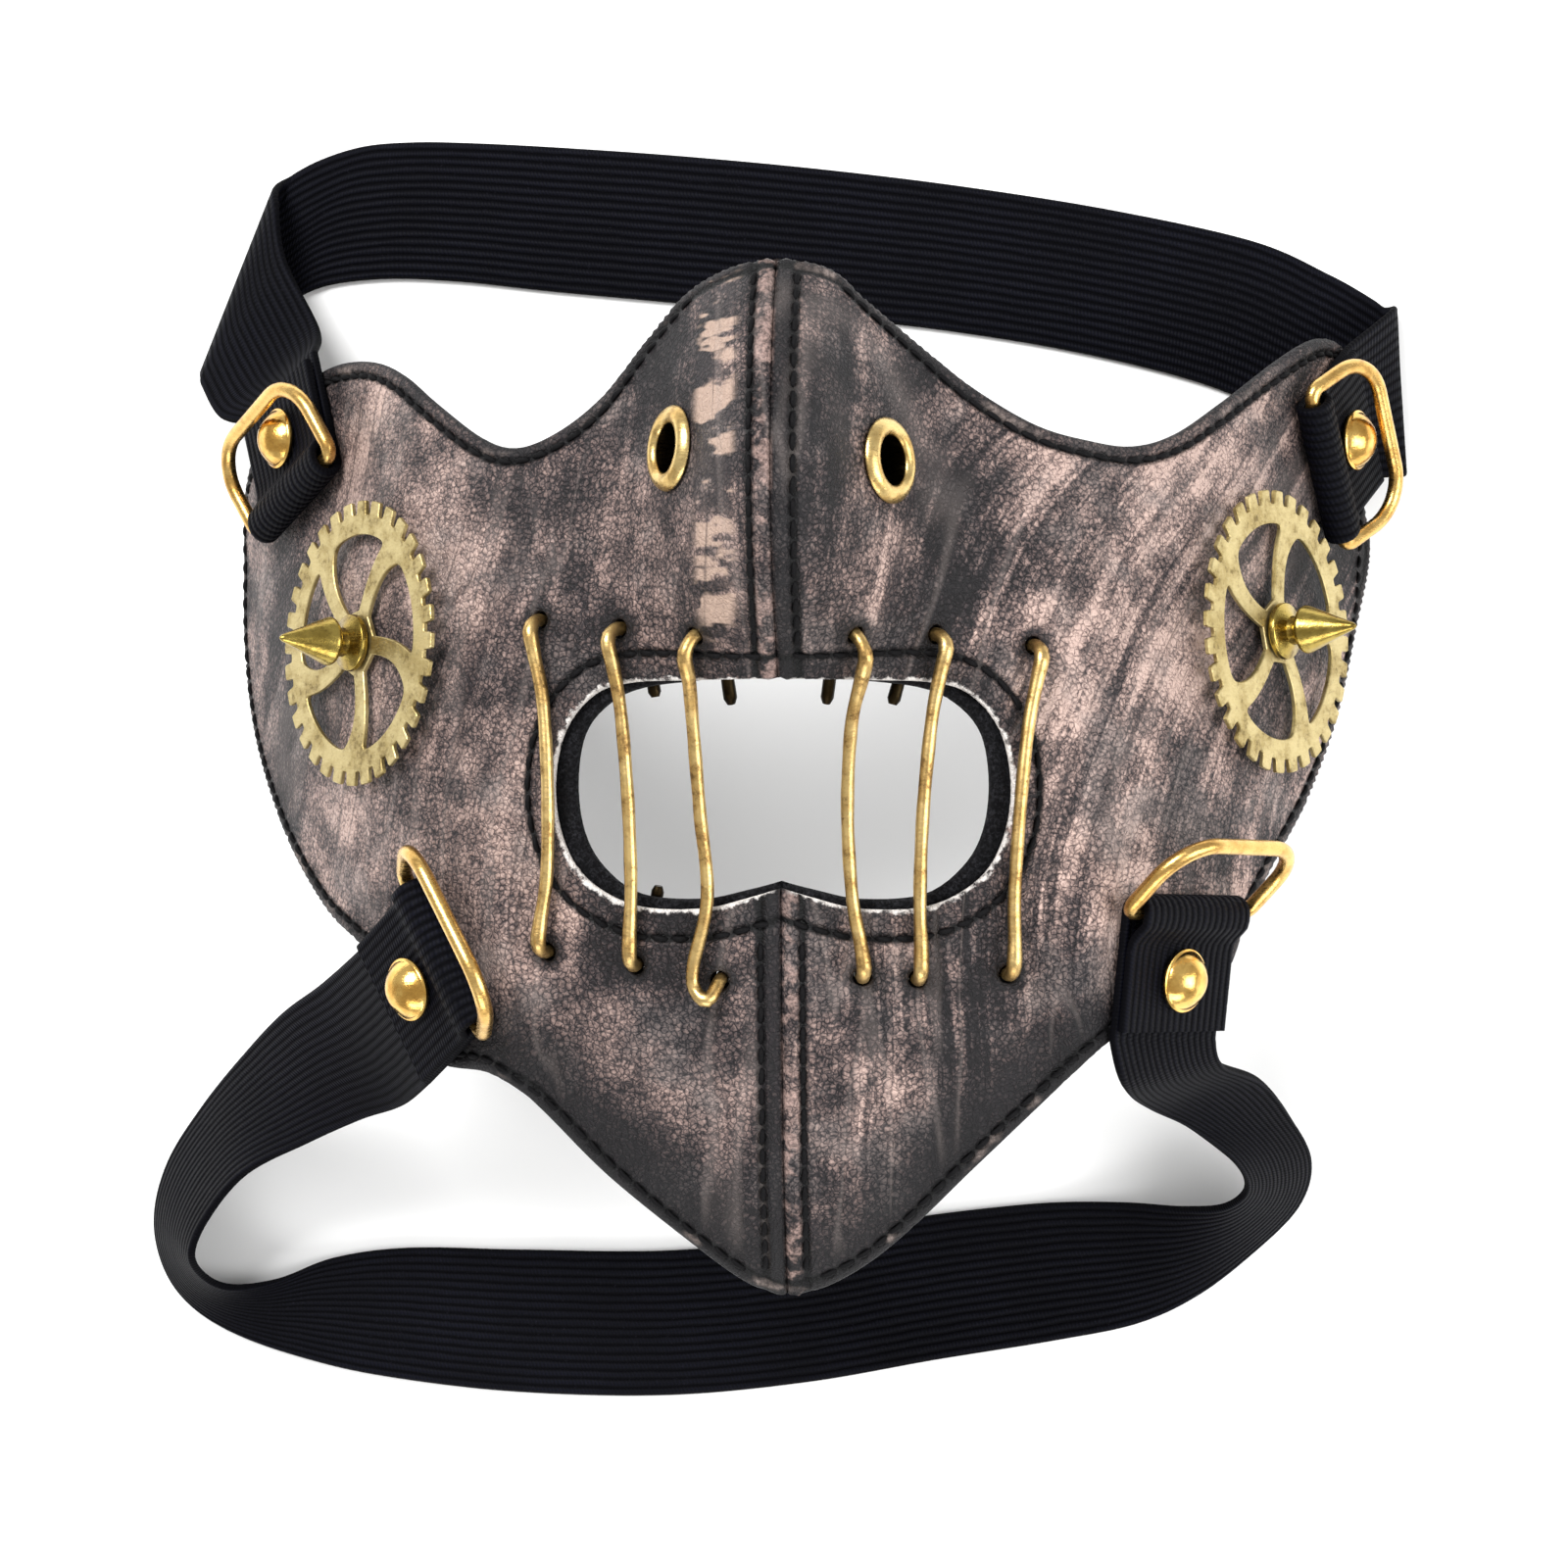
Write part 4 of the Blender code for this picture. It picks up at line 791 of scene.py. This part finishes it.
HALVES = {"left": (-1, LEFT_EDGE), "right": (1, RIGHT_EDGE)}
for half in HALVES:
    shell_piece("panel", half, MOUTH_HALF, 0.0, 0.0, 0.0, PANEL_T, WIRE_HOLE_R, leather_relief, 0.35, 0.0,
                [0.18, 0.45, 0.85, 1.4, 1.95, 2.4, 2.85, 3.5],
                [0.18, 0.45, 0.9, 1.9, 2.9, 3.8, 4.3, 4.8, 5.5],
                [0.2, 0.5, 0.85, 1.3, 1.75, 2.3, 2.7, 3.1, 3.5, 4.2], 1.55, LEATHER)
    lining = shell_piece("lining", half, LINING_MOUTH_HALF, 2.2, 0.8, -PANEL_T - LAYER_GAP, LINING_T,
                         WIRE_R + 0.2, lining_relief, 0.95, 0.35, [0.2, 0.5, 1.0, 2.0, 3.2],
                         [0.2, 0.5, 1.0, 2.0, 3.4], [0.3, 0.8], 1.9, LINING)


def tape(name, y0, y1):
    """Flat tape with rounded sides, over a seam inside."""
    wide, thick, lip = 6.0, 0.8, 0.5
    s = np.array((0.0, 0.2, 0.6, 1.2, 2.4, 4.0, 6.0, 8.0, 9.6, 10.8, 11.4, 11.8, 12.0)) - wide
    fall = np.minimum(wide - np.abs(s), lip)
    drop = 0.36 * (1 - np.sqrt(np.maximum(1 - ((lip - fall) / lip) ** 2, 0)))
    h = INNER_H - 0.95 - np.concatenate([drop, (thick - drop)[::-1]])
    s = np.concatenate([s, s[::-1]])
    ys = np.linspace(y0, y1, int(abs(y1 - y0) / 1.5))
    points = np.vstack([skin(s, np.full(len(s), y), h) for y in ys])
    make(name, points, ring_faces(len(ys), len(s)), TAPE, crease=60)


tape("seam_tape_nose", 18.0, 71.0)
tape("seam_tape_chin", -19.0, -73.0)

# --- stitching


def run_length(line):
    """Distance run along the line, up to each of its points."""
    return np.concatenate(([0.0], np.cumsum(np.linalg.norm(np.diff(line, axis=0), axis=1))))


def taken_at(line, d, s):
    """Points of the line at the distances s, where d is its run."""
    return np.stack([np.interp(s, d, column) for column in line.T], -1)


def resample(line, step):
    d = run_length(line)
    return taken_at(line, d, np.arange(0.0, d[-1], step))


def stitch_line(plan, base, outer):
    """Raised stitches along a plan line, at height `base`; outer is 1, or -1 inside the mask."""
    fine = resample(plan, 0.12)
    pos, n_all = on_shell(fine, base), normal(fine[:, 0], fine[:, 1]) * outer
    d = run_length(pos)
    part = np.linspace(0, 1, STITCH_ROWS)
    arch = np.sin(np.linspace(0, math.pi, STITCH_ROWS))
    lift = -0.34 + 0.52 * arch ** 0.6
    r = THREAD_R * (0.45 + 0.55 * arch ** 0.5)
    parts = []
    for i, start in enumerate(np.arange(0.4, d[-1] - STITCH, STITCH_PITCH)):
        s = start + part * STITCH
        p, n = taken_at(pos, d, s), unit(taken_at(n_all, d, s))
        b = unit(np.cross(unit(np.gradient(p, axis=0)), n))
        slant = ((2 * part - 1) * (0.10 + 0.05 * math.sin(i * 2.4)))[:, None]
        ring = [p + n * (lift + r * math.sin(a))[:, None] + b * ((r * 1.2 * math.cos(a))[:, None] + slant)
                for a in np.arange(STITCH_SIDES) * 2 * math.pi / STITCH_SIDES]
        parts.append(np.stack(ring, 1).reshape(-1, 3))
    return parts


def sew(name, parts, slot):
    faces = []
    for i in range(len(parts)):
        faces += ring_faces(STITCH_ROWS, STITCH_SIDES, first=i * STITCH_ROWS * STITCH_SIDES)
    make(name, np.vstack(parts), faces, THREAD, slot=slot)


front, back = [], []
for side, edge in HALVES.values():
    outer, gap = half_lines(side, edge, MOUTH_HALF, 0.0, 0.0, 1.0)
    for line, sign, d_front, d_back in ((outer, -side, EDGE_STITCH, 5.0), (gap, side, MOUTH_STITCH, 5.2)):
        for runs, base, face, d in ((front, 0.0, 1, d_front), (back, INNER_H, -1, d_back)):
            moved = pulled(line, sign, d)
            clear = 0.4 if d > 4 else 3.6
            # a moved line crosses itself in tight bends: only what kept its distance is sewn
            moved = moved[(nearest(on_shell(moved), on_shell(line)) > d * 0.965)
                          & (moved[:, 0] * side > clear)]
            even = [np.convolve(np.pad(column, 2, "edge"), np.ones(5) / 5, "valid") for column in moved.T]
            runs.extend(stitch_line(np.stack(even, -1), base, face))
    for runs, x, bow, base, face, spans in (
            (front, side * (SEAM_GAP + SEAM_STITCH), 1.01, 0.0, 1, ((74.2, 19.6), (-23.2, -75.0))),
            (back, side * 4.6, 1.0, INNER_H - 1.75, -1, ((70.0, 19.0), (-20.0, -72.0)))):
        for y0, y1 in spans:
            line = np.array(((x, y0), (x * bow, (y0 + y1) / 2), (x, y1)))
            runs.extend(stitch_line(line, base, face))
sew("topstitching", front, "bronzed_leather")
sew("lining_stitching", back, "black_lining")

def raised(base, *profile):
    """Points of a profile that is given from a base height."""
    return [(r, base + h) for r, h in profile]


# --- mouth wires


def wire_path(number, top, mid_x, bottom, tail_top, tail_bottom):
    """Plan points and heights of a wire, from the tail behind its upper hole to the other tail."""
    back_h = INNER_H - 1.9

    def tail(at, reach, lift):
        x, y = at
        end = math.copysign(1.0, reach[1])
        return [(x + reach[0], y + reach[1], back_h), (x + reach[0] * 0.5, y + reach[1] * 0.5, back_h),
                (x + reach[0] * 0.22, y + 2.0 * end, back_h), (x, y + 0.6 * end, back_h + 0.45),
                (x, y, back_h + 1.5), (x, y, -1.5), (x, y, 0.2), (x, y - 0.55 * lift, 1.75),
                (x, y - 2.0 * lift, 2.75)]

    (x0, y0), (x1, y1) = top, bottom
    path = tail(top, tail_top, 1.0) + [(x0 * 0.8 + mid_x * 0.2, y0 - 5.5, 2.3)]
    for k in (0.25, 0.5, 0.75):
        x = (1 - k) ** 2 * x0 + 2 * k * (1 - k) * (2 * mid_x - 0.5 * x0 - 0.5 * x1) + k * k * x1
        path.append((x, y0 + (y1 - y0) * k, 1.8))
    low = tail(bottom, tail_bottom, -1.0)[::-1]
    if number == CURLED_WIRE:
        curl = [(x1 - 3.6, y1 + 2.6, 1.7), (x1 - 3.4, y1 - 1.0, 1.8), (x1 - 1.4, y1 - 2.4, 2.5)]
        return path + curl + low[2:]
    return path + [(x1 * 0.8 + mid_x * 0.2, y1 + 5.5, 2.3)] + low


for number, wire in enumerate(WIRES, 1):
    p = catmull(wire_path(number, *wire), 0.8)
    steps = np.arange(len(p))
    swell = 1.0 + 0.03 * np.sin(steps * 0.55 + wire[1]) + 0.16 * smooth((p[:, 2] - 1.9) / 0.8)
    swell *= 0.55 + 0.45 * smooth(np.minimum(steps, steps[::-1]) / 1.2 + 0.25)
    # the tails behind the panel take painted shade
    tube(f"mouth_wire_{number}", on_shell(p, p[:, 2]), WIRE_R * swell, WIRE,
         painted_shade=smooth((-2.2 - p[:, 2]) / 1.2))

# --- eyelets, gears and spikes

for half, at in EYELETS.items():
    f = frame_at(*at)
    flange = catmull([(3.65, 1.0), (3.85, 1.45), (4.3, 1.78), (5.0, 1.85), (5.7, 1.5), (6.2, 0.9),
                      (6.3, 0.5), (6.1, 0.35)], 0.2)
    rolled = soften(raised(INNER_H, (5.7, -1.6), (5.7, -2.2), (4.0, -2.4), (3.65, -2.0)), 0.2)
    # painted shade inside the eyelet bore
    lathe("eyelet_" + half, [*flange, (4.35, 0.35), (4.35, INNER_H - 1.6), *rolled], EYELET, f, 72,
          painted_shade=lambda x, y, z: z < 1.2 and math.hypot(x, y) < 4.2)
    lathe("eyelet_washer_" + half,
          soften(raised(INNER_H, (4.65, -0.4), (6.8, -0.4), (6.8, -1.3), (4.65, -1.3)),
                 0.25, True), EYELET, f, 64)


def gear_outline():
    out = []
    for k in range(GEAR_TEETH):
        for frac, r in ((-0.29, 0.985), (-0.24, 1.0), (0.0, 1.0), (0.24, 1.0), (0.29, 0.985),
                        (0.325, 0.92), (0.36, 0.905), (0.5, 0.902), (0.64, 0.905), (0.675, 0.92)):
            a = 2 * math.pi * (k + frac) / GEAR_TEETH
            out.append(polar(GEAR_R * r, a))
    return np.array(out)


def gear_openings():
    """The windows between spokes that lean clockwise and flare outward, and the hole in the middle."""
    loops, inner, outer, turn = [], 5.2, 17.1, 2 * math.pi / GEAR_SPOKES
    for k in range(GEAR_SPOKES):
        rows = []
        for t in np.linspace(0, 1, 20):
            r = inner + (outer - inner) * t
            rows.append((r, turn * k - 0.14 * t * t, 1.45 / r, (1.45 + 2.9 * t ** 3) / r))
        loop = [(r, a + near) for r, a, near, far in rows]
        lo, hi = loop[-1][1], rows[-1][1] + turn - rows[-1][3]
        loop += [(outer, lo + (hi - lo) * t) for t in np.linspace(0, 1, 14)[1:-1]]
        loop += [(r, a + turn - far) for r, a, near, far in reversed(rows)]
        loop = np.array([polar(r, a) for r, a in loop])
        ids = np.arange(len(loop))
        for _ in range(2):
            mean = (np.roll(loop, 1, axis=0) + 2 * loop + np.roll(loop, -1, axis=0)) / 4
            loop = np.where((ids > 1)[:, None] & (ids < len(loop) - 2)[:, None], mean, loop)
        loops.append(loop)
    return loops + [np.array([polar(GEAR_BORE_R, a) for a in np.linspace(0, 2 * math.pi, 33)[:-1]])]


def gear_plate(name, outline, holes, local):
    """Flat plate whose upper and lower rims are chamfered all round."""
    def shrink(loop, d):
        t = unit(np.roll(loop, -1, axis=0) - np.roll(loop, 1, axis=0))
        area = np.sum(loop[:, 0] * np.roll(loop[:, 1], -1) - loop[:, 1] * np.roll(loop[:, 0], -1))
        return loop - np.stack((t[:, 1], -t[:, 0]), -1) * (d * np.sign(area))

    inner = [shrink(outline, GEAR_CUT)] + [shrink(h, -GEAR_CUT) for h in holes]
    plan, tris = fill(inner[0], inner[1:])
    count, z0, z1 = len(plan), GEAR_H, GEAR_H + GEAR_T
    verts = [(*p, z) for z in (z1, z0) for p in plan]
    faces = both_layers(count, tris)
    for loop, rim in zip([outline] + holes, inner):
        ids = [int(np.argmin(np.hypot(plan[:, 0] - p[0], plan[:, 1] - p[1]))) for p in rim]
        n, low = len(loop), len(verts) + len(loop)
        verts += [(*p, z) for z in (z1 - GEAR_CUT, z0 + GEAR_CUT) for p in loop]
        for i in range(n):
            j = (i + 1) % n
            a, b = low - n + i, low - n + j
            faces += [(ids[i], ids[j], b, a), (a, b, low + j, low + i),
                      (low + i, low + j, count + ids[j], count + ids[i])]
    make(name, verts, faces, GEAR, name + "_body", local, crease=30)


for half, at in GEARS.items():
    f = frame_at(*at)
    c, s = math.cos(GEAR_PHASE[half]), math.sin(GEAR_PHASE[half])
    spin = np.array(((c, s), (-s, c)))
    gear_plate("gear_" + half, gear_outline() @ spin, [h @ spin for h in gear_openings()], f)
    top = GEAR_H + GEAR_T + 0.3
    foot = soften(raised(top, (1.7, 0.0), (4.3, 0.0), (4.5, 0.3), (4.4, 1.1), (3.2, 1.5)), 0.2)
    cone = raised(top, (2.3, 2.1), (2.22, 2.8), (2.35, 3.6), (2.9, 3.95), (3.5, 4.05), (3.8, 4.5),
                  (3.62, 5.1), (2.9, 6.9), (2.2, 8.6), (1.35, 10.7), (0.55, 12.7))
    tip = raised(top, (0.25, 13.05), (0.0, 13.2))
    lathe("spike_" + half, [*raised(top, (0.0, 6.0), (1.7, 6.0)), *foot, *catmull(cone, 0.35), *tip],
          SPIKE, f, 64)
    head = soften(raised(INNER_H, (4.2, -0.5), (4.2, -1.3), (3.2, -1.9)), 0.3)
    lathe("spike_screw_" + half, [*raised(top, (0.0, 5.4), (1.45, 5.4)), (1.45, INNER_H - 0.5), *head,
                                  *raised(INNER_H, (1.2, -1.9), (0.0, -1.9))], SPIKE, f, 48)

# --- rings and rivets


def ring_path():
    near, far = 2.0, 7.5
    w, d = RING_HALF_W, RING_DEPTH
    pts = []
    for cx, cy, r, start, count in ((near, w - near, near, 180, 8), (d - far, w - far, far, 90, 18),
                                    (d - far, far - w, far, 0, 18), (near, near - w, near, -90, 8)):
        for k in range(count + 1):
            a = math.radians(start - 90.0 * k / count)
            pts.append((cx + r * math.cos(a), cy + r * math.sin(a), 0.0))
    return resample(np.array(pts + pts[:1]), 0.75)


for corner, data in CORNERS.items():
    f = corner_frame(corner)
    # the domes stay low enough for the rings to pass over them
    dome = catmull([(0.3, 7.08), (1.3, 6.98), (2.4, 6.6), (3.4, 5.84), (4.1, 5.08), (4.42, 4.6)], 0.35)
    brim = soften([(4.86, 4.3), (4.92, 3.95), (4.7, 3.72)], 0.12)
    lathe("rivet_" + corner, [(0.0, 7.1), *dome, (4.5, 4.42), *brim, (1.5, 3.7),
                              *raised(INNER_H, (1.5, -1.4), (0.0, -1.4))], GOLD, f, 64, 50)
    cap = soften(raised(INNER_H, (4.4, -0.4), (4.2, -1.5), (2.4, -2.3)), 0.4)
    lathe("rivet_cap_" + corner, [*raised(INNER_H, (0.0, -1.7), (1.8, -1.7), (1.8, -0.4)), *cap,
                                  *raised(INNER_H, (0.8, -2.47), (0.0, -2.5))], GOLD, f, 48)
    local = (f @ Matrix.Translation((-BAR_FROM_RIVET, 0, BAR_H))
             @ Matrix.Rotation(-math.radians(180.0 - data["swing"]), 4, "Y"))
    ring = "ring_" + corner
    tube(ring, ring_path(), RING_WIRE_R, RING, 18, True, local, ring + "_body")

# --- head straps


def tab_rows(name):
    """Folded strap end: flap, turn around the ring bar, lower layer; as pairs of edge points."""
    f = corner_frame(name)
    low = 0.4 + ELASTIC_T / 2
    flap = low + ELASTIC_T + 0.3
    turn = BAR_H - low
    path = [(FLAP_END, flap), (4.0, flap), (0.0, flap), (-4.2, flap), (-5.7, flap + 0.25),
            (-7.0, flap + 1.15), (-8.5, BAR_H + turn - 0.2)]
    for k in range(9):
        a = math.radians(90 + 22.5 * k)
        path.append((-BAR_FROM_RIVET + turn * math.cos(a), BAR_H + turn * math.sin(a)))
    path += [(-7.0, low), (-3.5, low), (0.0, low), (4.0, low), (FLAP_END, low), (FLAP_END + 1.5, low)]
    return np.array([[f @ Vector((x, y, h)) for y in (ELASTIC_HALF_W, -ELASTIC_HALF_W)] for x, h in path])


def strap(name, left, right, run):
    """Ribbed band through both folded ends and the pairs of edge points between them."""
    run = np.array(run, float).reshape(-1, 2, 3)
    run[..., 2] = np.maximum(run[..., 2], ELASTIC_T / 2)

    def facing(rows, hint):
        a, b = rows[0]
        return rows if np.linalg.norm(a - hint) < np.linalg.norm(b - hint) else rows[:, ::-1]

    ends = facing(tab_rows(left), run[0][0]), facing(tab_rows(right)[::-1], run[-1][0])
    rows = catmull(np.concatenate([ends[0], run, ends[1]]), 1.2)
    rows[..., 2] = np.maximum(rows[..., 2], ELASTIC_T / 2)
    width, lip = 2 * ELASTIC_HALF_W, 0.6
    s = np.concatenate([(0.0, 0.08, 0.25, 0.5), np.arange(1.0, width - 0.9, 1.0),
                        (width - 0.5, width - 0.25, width - 0.08, width)])
    inner = np.minimum(np.minimum(s, width - s), lip)
    half = ELASTIC_T / 2 * np.sqrt(1 - (1 - inner / lip) ** 2 * 0.97)
    centre, across = rows.mean(1), rows[:, 1] - rows[:, 0]
    face = unit(np.cross(unit(np.gradient(centre, axis=0)), across))
    base = rows[:, None, 0] + across[:, None] * (s / width)[None, :, None]
    rise = face[:, None] * half[None, :, None]
    loop = np.concatenate([base + rise, (base - rise)[:, ::-1]], 1)
    n, per = loop.shape[:2]
    weave = (np.tile(np.concatenate([s, s[::-1]]), n), np.repeat(run_length(centre), per), np.zeros(n * per))
    values = {"weave": np.stack(weave, -1)}
    make(name, loop.reshape(-1, 3), ring_faces(n, per), ELASTIC, values=values, crease=70)


strap("upper_strap", "upper_left", "upper_right", UPPER_RUN)
strap("lower_strap", "lower_left", "lower_right", LOWER_RUN)

# --- floor, lights and camera

scene = bpy.context.scene
m = Look("pale_floor", Roughness=0.85, Specular_IOR_Level=0.1)
m.set(Base_Color=m.mix(m.noise(0.01, 2.0), "fafafa", "fefefd"))
mesh = bpy.data.meshes.new("floor")
square = ((-1, -1), (1, -1), (1, 1), (-1, 1))
mesh.from_pydata([(x * FLOOR_HALF, y * FLOOR_HALF, FLOOR_Z) for x, y in square], [], [(0, 1, 2, 3)])
mesh.materials.append(m.mat)
put("floor", mesh)

world = bpy.data.worlds.new("studio")
scene.world = world
world.use_nodes = True
sky = world.node_tree.nodes["Background"].inputs
sky["Color"].default_value = (1.0, 1.0, 1.0, 1.0)
sky["Strength"].default_value = 0.62


def softbox(name, place, size, power):
    data = bpy.data.lights.new(name, "AREA")
    data.shape = "RECTANGLE"
    data.size, data.size_y = size
    data.energy = power
    lamp = put(name, data)
    lamp.location = place
    lamp.rotation_mode = "QUATERNION"
    lamp.rotation_quaternion = (Vector((0, 0, 0.05)) - Vector(place)).to_track_quat("-Z", "Y")


softbox("key", (-0.32, 0.42, 0.72), (0.35, 0.35), 9.0)
softbox("fill", (0.6, -0.1, 0.5), (0.4, 0.6), 4.5)
softbox("low", (0.0, -0.75, 0.4), (0.7, 0.3), 3.0)

camera = bpy.data.cameras.new("camera")
camera.sensor_width = 36.0
camera.lens = 36.0 * FOCAL_IN_FRAMES
camera.clip_start = 0.01
eye = put("camera", camera)
eye.matrix_world = (Matrix.Translation(CAMERA_AIM) @ Matrix.Rotation(math.radians(CAMERA_TILT), 4, "Y")
                    @ Matrix.Translation((0, 0, CAMERA_DISTANCE)))
scene.camera = eye
scene.view_settings.view_transform = "Standard"
